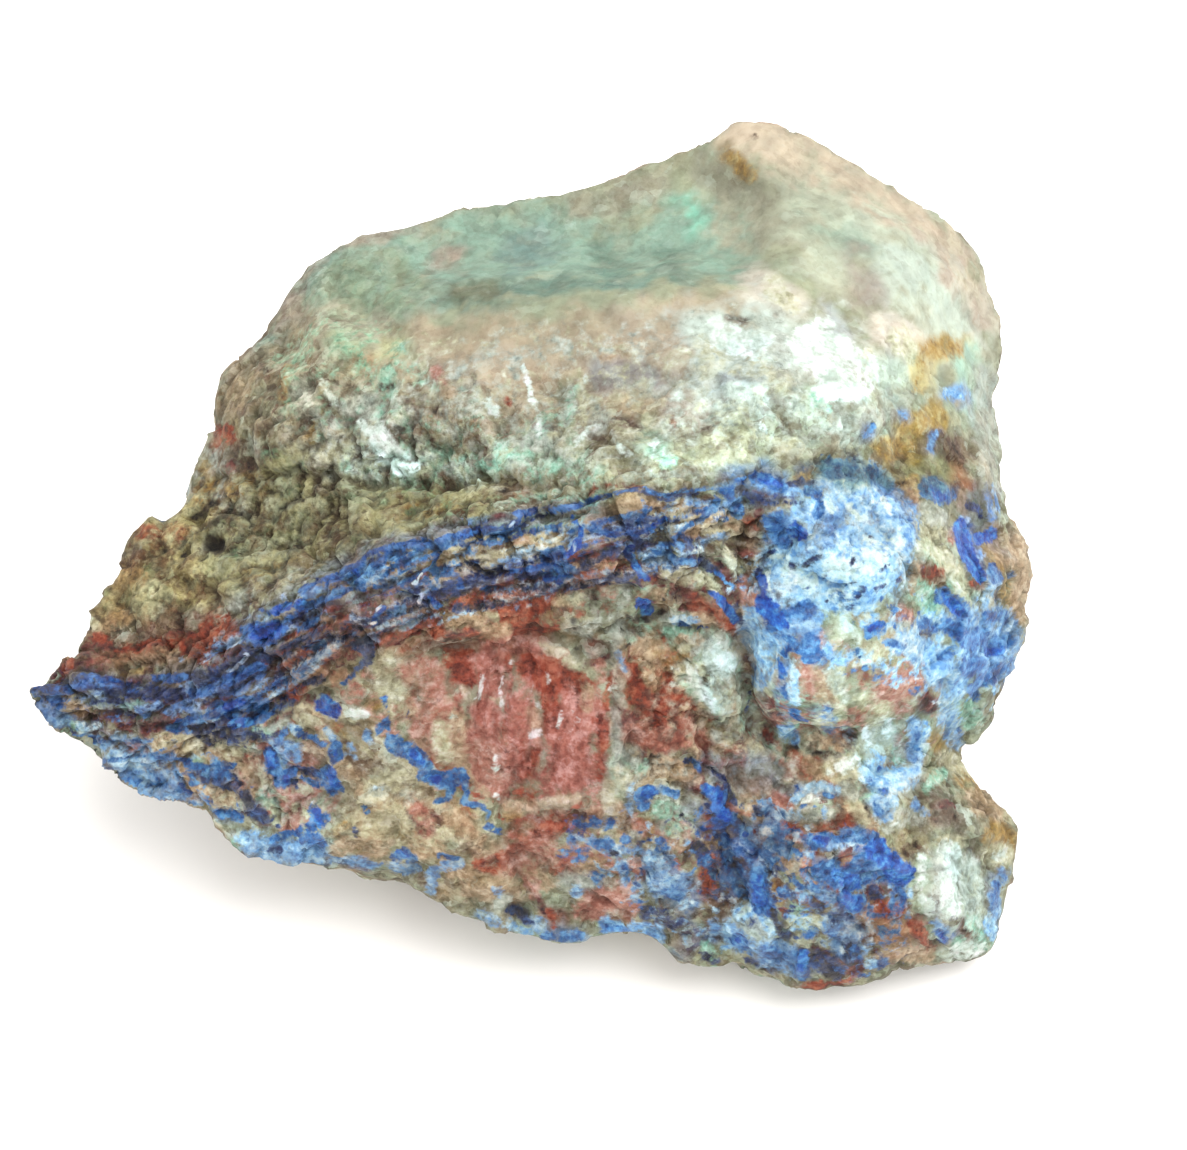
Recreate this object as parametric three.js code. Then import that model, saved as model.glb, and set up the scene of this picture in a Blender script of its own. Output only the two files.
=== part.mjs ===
// An azurite and malachite specimen: one rough broken stone, in millimetres, +Z up, standing on Z = 0.
//
// The stone is drawn on a board that leans back and faces someone who looks down at it. On the board
// u runs right, v runs up, and w stands out of the board towards the eye. Each spot below is [u, v, w].
import * as THREE from "three";
import { mergeVertices } from "three/addons/utils/BufferGeometryUtils.js";

// ---- Driving dimensions ----
const LOOK_DOWN = THREE.MathUtils.degToRad(60); // the board's normal rises this far above the ground
const EYE_DISTANCE = 340; // eye to board
const BOARD_CENTRE = { u: 59.35, v: 57.5 };
const BOARD_CENTRE_AT = new THREE.Vector3(6.3, -6.5, 29.5); // the board's centre in the stone's own frame

const RINGS = 28; // rings of points from the middle of a side to its outline
const FOOT_SHARE = 0.56; // the share of the rear rings that lies on the wall, before the resting face
const FOOT_CENTRE = new THREE.Vector2(3, -2); // of the resting face, on the ground

const LUMP_SIZE = 7.5; // spacing of the coarse lumps
const LUMP_HEIGHT = 1.3;
const CHIP_SIZE = 3.2; // spacing of the small chips
const CHIP_HEIGHT = 0.75;
const QUIET_RIM = 3; // the outline keeps its shape, and the lumps grow to full height over this width
const CREASE_RADIUS = 0.9; // the edges between facets are worn round to about this radius

// The middle of the drawing, from which the whole outline can be seen.
const MIDDLE = { u: 56, v: 55 };

// The outline, clockwise from the beak at the left.
const OUTLINE = [
  [2.8, 46.0, -2], [4.8, 46.6, -1], [7.5, 49.5, -2], [8.4, 51.0, -3], [8.8, 53.0, -4],
  [10.5, 55.0, -5], [12.3, 58.0, -6], [12.8, 60.0, -7], [15.0, 62.2, -7], [18.8, 64.2, -6],
  [19.0, 67.0, -8], [20.5, 69.5, -9], [21.5, 71.0, -9], [21.5, 75.0, -10], [22.5, 78.0, -11],
  [26.5, 81.5, -11], [29.0, 85.5, -12], [31.5, 88.8, -12], [35.0, 91.0, -12], [40.0, 92.2, -12],
  [45.0, 93.5, -12], [50.0, 94.5, -12], [54.5, 95.0, -12], [60.0, 96.5, -12], [66.0, 98.5, -12],
  [70.0, 100.0, -11], [73.5, 102.5, -10], [75.5, 102.9, -10], [77.5, 102.6, -10], [80.0, 101.5, -10],
  [85.0, 98.5, -11], [90.0, 95.5, -12], [95.0, 93.2, -13], [95.7, 92.0, -13], [98.0, 89.5, -14],
  [99.0, 86.0, -14], [100.0, 82.0, -13], [100.1, 79.5, -12], [99.2, 76.0, -10], [99.3, 74.0, -9],
  [100.0, 72.0, -8], [100.1, 69.5, -6], [100.3, 65.0, -5], [101.5, 62.0, -5], [102.8, 60.0, -5],
  [103.0, 56.0, -5], [102.0, 51.0, -6], [101.0, 47.0, -7], [100.0, 44.5, -8], [98.5, 42.0, -8],
  [95.6, 40.0, -8], [96.8, 37.5, -9], [98.5, 35.5, -10], [102.1, 32.4, -10], [101.2, 28.2, -10],
  [100.5, 24.5, -9], [99.8, 21.2, -9], [98.7, 19.2, -8], [96.0, 18.6, -7], [93.7, 18.6, -6],
  [90.0, 18.5, -5], [86.0, 16.5, -5], [81.0, 16.2, -4], [78.0, 17.2, -4], [74.5, 19.2, -4],
  [71.5, 18.8, -4], [68.0, 19.2, -4], [66.0, 21.5, -3], [62.5, 22.5, -3], [57.0, 21.0, -3],
  [53.0, 21.4, -3], [49.0, 22.5, -3], [45.5, 24.0, -3], [42.5, 26.5, -2], [40.0, 27.8, -2],
  [33.0, 28.3, -2], [27.0, 29.3, -2], [23.5, 31.2, -2], [20.0, 34.5, -2], [18.0, 35.5, -2],
  [14.0, 36.0, -3], [11.5, 37.2, -3], [9.0, 39.8, -3], [7.0, 41.5, -3], [4.5, 43.0, -3],
  [3.0, 44.7, -2],
];

// Spot heights inside the outline, form by form. Flat facets join them.
const SPOTS = {
  veinCrest: [
    [8, 47.2, 0.5], [18.9, 47.6, 5], [24, 50.9, 9], [28.1, 54.5, 12], [35, 57.5, 15], [42.7, 60.8, 18],
    [51.1, 63.1, 20], [60.8, 65.7, 22], [70, 67, 22], [75.2, 67.4, 21], [86.5, 67.8, 15.5], [93, 67, 9],
    [97.5, 66, 2],
  ],
  veinBelt: [
    [18, 43.8, 4.5], [26.5, 47, 9.5], [35, 52.8, 14], [46.5, 55.1, 17], [55.1, 57.9, 20],
    [63.7, 60, 21.5], [69.4, 59.1, 19],
  ],
  dome: [
    [77.5, 62, 19], [82, 62, 19.5], [85, 57, 18.5], [92, 59, 14], [97.5, 57, 6], [88, 49, 14],
    [95, 50, 7.5], [80, 51, 17], [78, 45.5, 12.5], [86, 44, 10.5], [93, 45, 4.5],
  ],
  domeGroove: [[74.5, 59, 16], [74.5, 50, 11], [74.5, 42.5, 7], [79, 40.4, 4.5], [85, 41.6, 5.5], [91, 41, 1]],
  lowerRightLump: [
    [85, 36, 6.5], [90, 35, 4.5], [96, 34, -2], [99, 32, -5.5], [94, 28, 0.5], [90.5, 30, 2.5],
    [97.3, 20.5, -6], [94, 24, 0], [88, 30, 5], [84, 27, 6], [80, 30, 6.5], [76, 25, 4], [83, 21, 1],
    [78, 19.5, -1], [88, 21.5, 0],
  ],
  redMiddle: [
    [62, 56.5, 19], [69, 55.5, 17], [62.3, 52.5, 14], [65, 52.6, 12.5], [65, 45, 12], [70, 50, 13.5],
    [72, 43, 9], [69, 37, 9], [62, 39, 9.5], [65, 32, 6], [70, 29, 5], [64, 26, 2], [69, 22, -1],
    [74, 27, 4], [72, 35, 7.5],
  ],
  redPanel: [
    [40.5, 52.5, 14.5], [48, 53.2, 16], [56, 53.4, 16.5], [45.5, 49.7, 12.2], [52, 50.2, 13],
    [60, 50, 13.5], [44.8, 37.5, 7.5], [52, 36.5, 7.8], [60.3, 36.5, 8.5], [42.5, 45, 11],
  ],
  lowerLeftWedge: [
    [10, 44, 1], [15, 45, 3.5], [20, 44.5, 6], [30, 46, 9.5], [35, 47, 11], [15, 40, 0.5],
    [22, 39, 3.5], [30, 39, 6.5], [27, 33, 1.5], [35, 32, 3], [33.5, 39.5, 8],
  ],
  tanSlope: [
    [40, 43, 10], [40, 37, 7.5], [42, 31, 3], [48, 31, 5], [55, 30, 4.5], [60, 30, 4], [52, 25, 0],
    [60, 25, 0.5], [56, 34, 7], [64, 33, 6.5],
  ],
  leftShoulder: [
    [23, 59, 1], [22, 63, -2], [30, 59, 6.5], [30, 63, 4], [35, 61, 9], [40, 63, 11], [45, 64.5, 13.5],
    [52, 65, 16.5], [58, 66.2, 18.5], [15, 58, -2.5], [13, 54, -2.5], [18, 51, 3], [12, 49, 0],
  ],
  ledgeCrevice: [[26, 66.2, 0], [35, 66.9, 5], [42, 66.9, 8], [48.7, 66.9, 12.2], [56, 66.6, 17]],
  bulge: [
    [26, 75, -2], [30, 72, 3], [32, 77, 2], [40, 72, 10], [40, 78, 6], [50, 73, 13.5], [50, 79, 10],
    [60, 72, 17.5], [60, 79, 12], [70, 72, 19], [70, 78, 15], [78, 72, 18], [80, 78, 14], [85, 81, 9],
    [88, 75, 12], [90, 81, 5], [95, 78, -1], [96, 73, 0], [92, 71, 8], [96, 69, 1.5], [25, 69, -2.5],
  ],
  hollowLip: [[33, 82, 0], [42, 83.8, 4], [50, 85, 5], [60, 86, 6], [69, 86.2, 7], [76, 86, 8]],
  hollow: [
    [36, 85.5, -6.5], [42, 87, -5.5], [50, 88, -5], [60, 89, -4.5], [69, 89.5, -3], [74, 89, -1],
    [48, 91, -9], [56, 92, -8.5], [64, 93, -8], [71, 93, -6.5], [74.5, 94, -5.5], [70, 97, -9],
    [62, 95, -10], [45, 91.8, -10.5],
  ],
  upperRightFace: [
    [74.5, 99.5, -4.5], [76.5, 97, -1.5], [77.5, 92, 1.5], [79, 94, 0], [80, 89.5, 4.5], [81, 86, 7],
    [85, 94, -1.5], [85, 88, 3], [90, 91, -4], [90, 85, 0], [95, 88, -8], [96, 83, -7],
  ],
};

// The edge of the resting face on the ground, [x, y], anticlockwise.
const FOOT = [
  [39, -8], [35, 9], [28, 20], [17, 25], [2, 31], [-12, 28], [-23, 23], [-33, 10], [-38, -1], [-35, -12],
  [-23, -20], [-10, -26], [8, -29], [19, -34], [31, -34], [37, -20],
];

// Flat breaks of the rear wall: [compass bearing, rise, distance of the break from the stone's axis].
const BREAKS = [
  [58, 10, 41], [96, 20, 37], [128, 2, 38.5], [162, 14, 41], [22, -6, 45], [198, -26, 35], [-12, -22, 42],
];
const WALL_DROP = 0.45; // the wall first runs straight away from the eye, for this share of its height
const REAR_LUMP_SIZE = 13; // the rear is broken more coarsely than the front
const REAR_LUMP_HEIGHT = 3;

// ---- Rough stone: seeded value noise ----
function grain(x, y, z) {
  const s = Math.sin(x * 127.1 + y * 311.7 + z * 74.7) * 43758.5453;
  return 2 * (s - Math.floor(s)) - 1;
}

function roughness(point, spacing) {
  const cell = point.clone().divideScalar(spacing);
  const low = cell.clone().floor();
  const t = cell.sub(low);
  const ease = (x) => x * x * (3 - 2 * x);
  const mix = THREE.MathUtils.lerp;
  const at = (i, j, k) => grain(low.x + i, low.y + j, low.z + k);
  const row = (j, k) => mix(at(0, j, k), at(1, j, k), ease(t.x));
  return mix(mix(row(0, 0), row(1, 0), ease(t.y)), mix(row(0, 1), row(1, 1), ease(t.y)), ease(t.z));
}

function lumps(point) {
  return LUMP_HEIGHT * roughness(point, LUMP_SIZE) + CHIP_HEIGHT * roughness(point, CHIP_SIZE);
}

// ---- The drawing board ----
// A spot on the board, moved along its sight line to its height, in the stone's own frame.
function fromBoard({ x: u, y: v, z: w }) {
  const shrink = (EYE_DISTANCE - w) / EYE_DISTANCE;
  const across = (u - BOARD_CENTRE.u) * shrink;
  const up = (v - BOARD_CENTRE.v) * shrink;
  const [sin, cos] = [Math.sin(LOOK_DOWN), Math.cos(LOOK_DOWN)];
  return new THREE.Vector3(across, up * sin - w * cos, up * cos + w * sin).add(BOARD_CENTRE_AT);
}

const spot = ([u, v, w]) => new THREE.Vector3(u, v, w);
const outline = OUTLINE.map(spot);

// The point at a share of the outline's length.
const outlinePath = new THREE.CurvePath();
outline.forEach((p, i) => outlinePath.add(new THREE.LineCurve3(p, outline[(i + 1) % outline.length])));
const rimAt = (share) => outlinePath.getPointAt(share % 1);

// ---- Facets between the spot heights: Delaunay triangles ----
function circleHolds([a, b, c], p) {
  const [ax, ay, bx, by, cx, cy] = [a, b, c].flatMap((q) => [q.x - p.x, q.y - p.y]);
  const [aa, bb, cc] = [ax * ax + ay * ay, bx * bx + by * by, cx * cx + cy * cy];
  return aa * (bx * cy - cx * by) - bb * (ax * cy - cx * ay) + cc * (ax * by - bx * ay) > 0;
}

function delaunay(points) {
  const far = 1e4; // three corners well outside the board hold all the points at first
  const corners = [spot([-far, -far, 0]), spot([far, -far, 0]), spot([0, far, 0])];
  let facets = [corners];
  for (const p of points) {
    const cut = facets.filter((facet) => circleHolds(facet, p));
    const edges = cut.flatMap(([a, b, c]) => [[a, b], [b, c], [c, a]]);
    const open = edges.filter(([a, b]) => !edges.some(([c, d]) => a === d && b === c));
    facets = facets.filter((facet) => !cut.includes(facet)).concat(open.map(([a, b]) => [a, b, p]));
  }
  return facets.filter((facet) => !facet.some((p) => corners.includes(p)));
}

const facets = delaunay([...outline, ...Object.values(SPOTS).flat().map(spot)]);

function heightAt(u, v) {
  const side = (a, b) => (b.x - a.x) * (v - a.y) - (b.y - a.y) * (u - a.x);
  let best = { inside: -Infinity, w: 0 };
  for (const [a, b, c] of facets) {
    const [ka, kb, kc] = [side(b, c), side(c, a), side(a, b)];
    const area = ka + kb + kc;
    const inside = Math.min(ka, kb, kc) / area;
    if (inside > best.inside) best = { inside, w: (ka * a.z + kb * b.z + kc * c.z) / area };
  }
  return best.w;
}

// The height with the edges between the facets worn round.
function wornHeight(u, v) {
  const around = [0, 60, 120, 180, 240, 300].map(THREE.MathUtils.degToRad);
  const heights = around.map((turn) =>
    heightAt(u + CREASE_RADIUS * Math.cos(turn), v + CREASE_RADIUS * Math.sin(turn)));
  return heights.reduce((sum, w) => sum + w, heightAt(u, v)) / (heights.length + 1);
}

// ---- The seen side ----
// A point of the seen side: share goes round the outline, reach from the middle (0) to the outline (1).
function frontPoint(share, reach) {
  const rim = rimAt(share);
  const u = THREE.MathUtils.lerp(MIDDLE.u, rim.x, reach);
  const v = THREE.MathUtils.lerp(MIDDLE.v, rim.y, reach);
  if (reach === 1) return fromBoard(rim);
  const rimGap = Math.hypot(rim.x - u, rim.y - v);
  const swell = Math.min(1, rimGap / QUIET_RIM);
  const w = wornHeight(u, v) + swell * lumps(spot([u, v, 0]));
  return fromBoard(spot([u, v, w]));
}

// ---- The rear wall and the resting face ----
// The edge of the resting face in a direction from its centre.
function footAt(bearing) {
  const ray = new THREE.Vector2(Math.cos(bearing), Math.sin(bearing));
  let reach = 0;
  FOOT.forEach(([x1, y1], i) => {
    const [x2, y2] = FOOT[(i + 1) % FOOT.length];
    const a = new THREE.Vector2(x1, y1).sub(FOOT_CENTRE);
    const edge = new THREE.Vector2(x2 - x1, y2 - y1);
    const across = ray.cross(edge);
    const along = a.cross(ray) / across; // place on the edge, 0 to 1
    const distance = a.cross(edge) / across;
    if (distance > 0 && along >= 0 && along <= 1) reach = Math.max(reach, distance);
  });
  return new THREE.Vector3(ray.x * reach, ray.y * reach, 0);
}

// A point of the wall, pressed back to the flat breaks that it stands proud of.
function broken(point, settle) {
  const middle = new THREE.Vector3(0, 0, BOARD_CENTRE_AT.z);
  for (const [bearing, rise, distance] of BREAKS) {
    const [turn, lift] = [bearing, rise].map(THREE.MathUtils.degToRad);
    const flat = new THREE.Vector3(Math.cos(turn), Math.sin(turn), 0).multiplyScalar(Math.cos(lift));
    const normal = flat.setZ(Math.sin(lift));
    const proud = point.clone().sub(middle).dot(normal) - distance;
    if (proud > 0) point.addScaledVector(normal, -proud * settle);
  }
  return point;
}

function rearPoint(share, reach) {
  const rim = fromBoard(rimAt(share));
  const footCentre = new THREE.Vector3(FOOT_CENTRE.x, FOOT_CENTRE.y, 0);
  const bearing = Math.atan2(rim.y - footCentre.y, rim.x - footCentre.x);
  const foot = footAt(bearing).add(footCentre);
  const down = (1 - reach) / FOOT_SHARE;
  if (down >= 1) return footCentre.lerp(foot, reach / (1 - FOOT_SHARE));
  const away = new THREE.Vector3(0, Math.cos(LOOK_DOWN), -Math.sin(LOOK_DOWN));
  const shoulder = rim.clone().addScaledVector(away, WALL_DROP * rim.z);
  const point = new THREE.QuadraticBezierCurve3(rim, shoulder, foot).getPoint(down);
  const arch = Math.sin(Math.PI * down);
  const outwards = foot.clone().sub(footCentre).normalize();
  const behind = Math.max(0, Math.sin(bearing)); // the coarse lumps are at the back, out of sight
  const coarse = REAR_LUMP_HEIGHT * roughness(point, REAR_LUMP_SIZE) * behind;
  point.addScaledVector(outwards, arch * (coarse + lumps(point)));
  point.z += arch * lumps(point.clone().multiplyScalar(1.3));
  return broken(point, Math.min(1, 3 * down));
}

// ---- The closed surface: two rounds of rings that share the outline ----
// Ring k holds 6k points, and ring 0 is the middle.
function roundOfRings(pointAt, facesOut) {
  const rings = [[pointAt(0, 0)]];
  for (let ring = 1; ring <= RINGS; ring++) {
    const shares = Array.from({ length: 6 * ring }, (_, step) => step / (6 * ring));
    rings.push(shares.map((share) => pointAt(share, ring / RINGS)));
  }
  const place = (ring, step) => rings[ring][step % rings[ring].length];
  const corners = [];
  const add = (a, b, c) => corners.push(...(facesOut ? [a, b, c] : [a, c, b]));
  for (let ring = 1; ring <= RINGS; ring++) {
    for (let sixth = 0; sixth < 6; sixth++) {
      for (let i = 0; i < ring; i++) {
        const outer = sixth * ring + i;
        const inner = sixth * (ring - 1) + i;
        add(place(ring, outer), place(ring, outer + 1), place(ring - 1, inner));
        if (i < ring - 1) add(place(ring, outer + 1), place(ring - 1, inner + 1), place(ring - 1, inner));
      }
    }
  }
  return corners;
}

function stoneGeometry() {
  const corners = [...roundOfRings(frontPoint, false), ...roundOfRings(rearPoint, true)];
  return mergeVertices(new THREE.BufferGeometry().setFromPoints(corners), 1e-3);
}

const stoneSurface = new THREE.MeshStandardMaterial({ color: 0x8f9482, roughness: 0.85, metalness: 0 });
const stone = new THREE.Mesh(stoneGeometry(), stoneSurface);
stone.name = "azurite_malachite_stone";

const specimen = new THREE.Group();
specimen.add(stone);

export default specimen;
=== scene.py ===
"""An azurite and malachite specimen: a rough broken stone with a blue vein, on a pale floor.

Lengths are millimetres in the stone's own frame until a mesh is made, which is in metres. Forms and
minerals are placed on a drawing board that faces someone who looks down at the stone: a spot is
(across, down) from the board's top left corner, and it lands where the sight line through it meets
the stone.
"""
import math

import bpy
import numpy as np
from mathutils import Matrix, Vector


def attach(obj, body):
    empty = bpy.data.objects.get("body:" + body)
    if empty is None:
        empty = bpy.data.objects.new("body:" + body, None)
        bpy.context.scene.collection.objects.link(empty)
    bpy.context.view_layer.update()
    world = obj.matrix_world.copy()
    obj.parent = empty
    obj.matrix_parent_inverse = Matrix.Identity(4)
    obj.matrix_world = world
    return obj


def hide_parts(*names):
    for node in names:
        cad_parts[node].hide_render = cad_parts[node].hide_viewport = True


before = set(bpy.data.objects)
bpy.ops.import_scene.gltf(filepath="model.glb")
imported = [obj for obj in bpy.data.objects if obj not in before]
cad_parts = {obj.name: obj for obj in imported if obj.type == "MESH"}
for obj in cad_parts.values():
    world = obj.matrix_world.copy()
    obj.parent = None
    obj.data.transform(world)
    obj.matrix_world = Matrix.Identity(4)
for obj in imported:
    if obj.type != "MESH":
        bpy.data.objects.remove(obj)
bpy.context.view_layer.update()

STONE = "azurite_malachite_stone"
MM = 0.001

# ---- The drawing board, as the stone's solid has it ----
LOOK_DOWN = math.radians(60)
EYE_DISTANCE = 340.0
BOARD_WIDTH = 118.7
BOARD_HEIGHT = 115.0
BOARD_CENTRE_AT = np.array([6.3, -6.5, 29.5])
BOARD_RIGHT = np.array([1.0, 0.0, 0.0])
BOARD_UP = np.array([0.0, math.sin(LOOK_DOWN), math.cos(LOOK_DOWN)])
TO_EYE = np.array([0.0, -math.cos(LOOK_DOWN), math.sin(LOOK_DOWN)])
EYE = BOARD_CENTRE_AT + EYE_DISTANCE * TO_EYE

# ---- How finely the stone's skin is divided ----
FINE_EDGE = 0.46
FRONT_EDGE = 0.9
REAR_EDGE = 1.1
FLAT_EDGE = 4.0
FLAT_HEIGHT = 0.01  # the resting face is below this
FRONT_DEPTH = -11.0  # the seen side lies nearer to the eye than this, measured from the board
DIVIDING_ROUNDS = 4
SHRINK = 0.5  # each smoothing draws every point this share of the way in
SWELL_BACK = -0.52  # and then this share out again, so the skin keeps its size


def on_board(points):
    """(across, down, height towards the eye) of points, each seen along its own sight line."""
    offset = points - BOARD_CENTRE_AT
    height = offset @ TO_EYE
    spread = EYE_DISTANCE / (EYE_DISTANCE - height)
    across = BOARD_WIDTH / 2 + (offset @ BOARD_RIGHT) * spread
    down = BOARD_HEIGHT / 2 - (offset @ BOARD_UP) * spread
    return across, down, height


def smooth_step(low, high, value):
    t = np.clip((value - low) / (high - low), 0, 1)
    return t * t * (3 - 2 * t)


# ---- Seeded noise on points in mm ----
X_PRIME, Y_PRIME, Z_PRIME, SEED_PRIME = 73856093, 19349663, 83492791, 40503001
FIRST_MIXER, SECOND_MIXER = 1274126177, 668265263
LARGEST_MIXED, LARGEST_NUMBER = 0x7FFFFFFF, 0xFFFFF
LAYER_WEAKER = 1.7  # each finer layer of rough noise is weaker by this
ROUGH_SPREAD = 1.15  # brings rough noise out to about -1 to 1


def lattice(cell, seed):
    """A number from 0 to 1 for each whole-numbered cell."""
    x, y, z = (cell[..., i].astype(np.int64) for i in range(3))
    mixed = (x * X_PRIME) ^ (y * Y_PRIME) ^ (z * Z_PRIME) ^ (seed * SEED_PRIME)
    mixed = (mixed ^ (mixed >> 13)) * FIRST_MIXER & LARGEST_MIXED
    mixed = (mixed ^ (mixed >> 15)) * SECOND_MIXER & LARGEST_MIXED
    return ((mixed ^ (mixed >> 11)) & LARGEST_NUMBER) / LARGEST_NUMBER


def noise(points, size, seed):
    """Smooth noise from -1 to 1, with lumps about one size apart."""
    scaled = points / size
    low = np.floor(scaled)
    t = scaled - low
    t = t * t * t * (t * (6 * t - 15) + 10)
    total = np.zeros(len(points))
    for corner in np.ndindex(2, 2, 2):
        share = np.prod(np.where(corner, t, 1 - t), axis=1)
        total += share * lattice(low + corner, seed)
    return 2 * total - 1


def rough_noise(points, size, seed, layers=3):
    """Noise with finer and weaker layers on top, about -1 to 1."""
    total = sum(noise(points, size / 2 ** i, seed + i) / LAYER_WEAKER ** i for i in range(layers))
    return ROUGH_SPREAD * total / math.sqrt(sum(1 / LAYER_WEAKER ** (2 * i) for i in range(layers)))


def chips_of(points, size, seed):
    """Flat chips, each tilted its own way: the height over a broken face, about -1 to 1, and how far
    each place is from the next chip, in mm."""
    scaled = points / size
    low = np.floor(scaled)
    nearest, second = np.full((2, len(points)), np.inf)
    height = np.zeros(len(points))
    for step in np.ndindex(3, 3, 3):
        cell = low + step - 1
        centre = cell + np.stack([lattice(cell, seed + i) for i in range(3)], axis=1)
        away = scaled - centre
        gap = np.sqrt((away ** 2).sum(axis=1))
        slope = np.stack([lattice(cell, seed + 3 + i) for i in range(3)], axis=1) - 0.5
        number = lattice(cell, seed + 6)
        closer = gap < nearest
        second = np.where(closer, nearest, np.minimum(second, gap))
        nearest = np.where(closer, gap, nearest)
        height = np.where(closer, number - 0.5 + 2 * (slope * away).sum(axis=1), height)
    return height, (second - nearest) * size


# ---- The stone's skin: the solid's faces, divided finely and worn smooth ----
def welded(mesh):
    """A mesh's corners in mm, with those at one place joined, and its triangles."""
    mesh.calc_loop_triangles()
    corners = np.zeros(len(mesh.vertices) * 3)
    mesh.vertices.foreach_get("co", corners)
    corners = corners.reshape(-1, 3) / MM
    triangles = np.zeros(len(mesh.loop_triangles) * 3, int)
    mesh.loop_triangles.foreach_get("vertices", triangles)
    _, first, joined = np.unique(
        np.round(corners, 3), axis=0, return_index=True, return_inverse=True)
    return corners[first], joined.reshape(-1)[triangles].reshape(-1, 3)


def edges_of(triangles, count):
    """The edges with their ends sorted, and each triangle's three edges among them."""
    ends = np.concatenate([triangles[:, [0, 1]], triangles[:, [1, 2]], triangles[:, [2, 0]]])
    ends.sort(axis=1)
    keys, which = np.unique(ends[:, 0] * count + ends[:, 1], return_inverse=True)
    return np.stack([keys // count, keys % count], axis=1), which.reshape(3, -1).T


def divided(points, triangles, longest):
    """Every edge over its longest length gets a point in its middle, and the triangles follow."""
    edges, own = edges_of(triangles, len(points))
    ends = points[edges]
    middles = ends.mean(axis=1)
    long = np.linalg.norm(ends[:, 0] - ends[:, 1], axis=1) > longest(middles)
    number = np.full(len(edges), -1)
    number[long] = len(points) + np.arange(long.sum())
    middle_of = number[own]
    cut = middle_of >= 0
    made = [triangles[~cut.any(axis=1)]]
    for first in range(3):
        turn = [first, (first + 1) % 3, (first + 2) % 3]
        a, b, c = triangles[:, turn].T
        ab, bc, ca = middle_of[:, turn].T
        is_ab, is_bc, is_ca = cut[:, turn].T
        one = is_ab & ~is_bc & ~is_ca
        made += [np.stack(t, axis=1)[one] for t in ((a, ab, c), (ab, b, c))]
        two = is_ab & is_bc & ~is_ca
        made += [np.stack(t, axis=1)[two] for t in ((ab, b, bc), (a, ab, bc), (a, bc, c))]
        if first == 0:
            three = is_ab & is_bc & is_ca
            parts = ((a, ab, ca), (ab, b, bc), (ca, bc, c), (ab, bc, ca))
            made += [np.stack(t, axis=1)[three] for t in parts]
    return np.concatenate([points, middles[long]]), np.concatenate(made)


def relaxed(points, triangles, share):
    """Each point, or row of values, moved a share of the way to the middle of its neighbours."""
    edges, _ = edges_of(triangles, len(points))
    total = np.zeros_like(points)
    for near, far in ((0, 1), (1, 0)):
        for axis in range(points.shape[1]):
            total[:, axis] += np.bincount(edges[:, near], points[edges[:, far], axis], len(points))
    count = np.bincount(edges.ravel(), minlength=len(points))
    return points + share * (total / count[:, None] - points)


def normals_of(points, triangles):
    a, b, c = (points[triangles[:, i]] for i in range(3))
    faces = np.cross(b - a, c - a)
    normals = np.stack(
        [sum(np.bincount(triangles[:, i], faces[:, axis], len(points)) for i in range(3))
         for axis in range(3)], axis=1)
    return normals / np.linalg.norm(normals, axis=1, keepdims=True)


def skin_of_stone():
    """The points and triangles of the stone's skin."""
    points, triangles = welded(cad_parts[STONE].data)

    def longest(places):
        across, down, nearness = on_board(places)
        fine = cover_by(FINE_SKIN, across, down) > 0
        edge = np.where(nearness > FRONT_DEPTH, np.where(fine, FINE_EDGE, FRONT_EDGE), REAR_EDGE)
        return np.where(places[:, 2] < FLAT_HEIGHT, FLAT_EDGE, edge)

    for _ in range(DIVIDING_ROUNDS):
        points, triangles = divided(points, triangles, longest)
        flat = (points[:, 2] < FLAT_HEIGHT)[:, None]
        soft = relaxed(relaxed(points, triangles, SHRINK), triangles, SWELL_BACK)
        points = np.where(flat, points, soft)
    return points, triangles


# ---- Strokes drawn on the board ----
FULL = 2  # how fully a stroke covers if nothing else is said
OUTSIDE = -2.5  # the cover of places that no stroke reaches
EDGE_OF_LINE = 0.2  # a stroke's cover falls by 1 over this much in mm, and over more in a wide one
EDGE_BY_WIDTH = 0.32


def strokes_in(text):
    """The brush and the spots of each stroke in lines 'brush: across,down across,down ... / ...', where
    a slash ends one stroke and starts the next with the same brush."""
    for line in text.strip().splitlines():
        brush, strokes = line.split(":")
        for stroke in strokes.split("/"):
            yield brush, np.array([spot.split(",") for spot in stroke.split()], float)


def drawn(text):
    """Strokes from lines whose brush is 'half width @ fullest', in mm."""
    strokes = []
    for brush, places in strokes_in(text):
        width, _, fullest = brush.partition("@")
        strokes.append((float(width), float(fullest or FULL), places))
    return strokes


def shaped(text):
    """Strokes from lines whose brush is 'half width, height', in mm."""
    return [(*map(float, brush.split(",")), places) for brush, places in strokes_in(text)]


def distance_to(places, across, down):
    """The distance on the board to a line through places, or to one place."""
    best = np.hypot(across - places[0, 0], down - places[0, 1])
    for (x, y), (end_x, end_y) in zip(places, places[1:]):
        run, fall = end_x - x, end_y - y
        along = np.clip(((across - x) * run + (down - y) * fall) / (run ** 2 + fall ** 2), 0, 1)
        best = np.minimum(best, np.hypot(across - x - along * run, down - y - along * fall))
    return best


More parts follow.
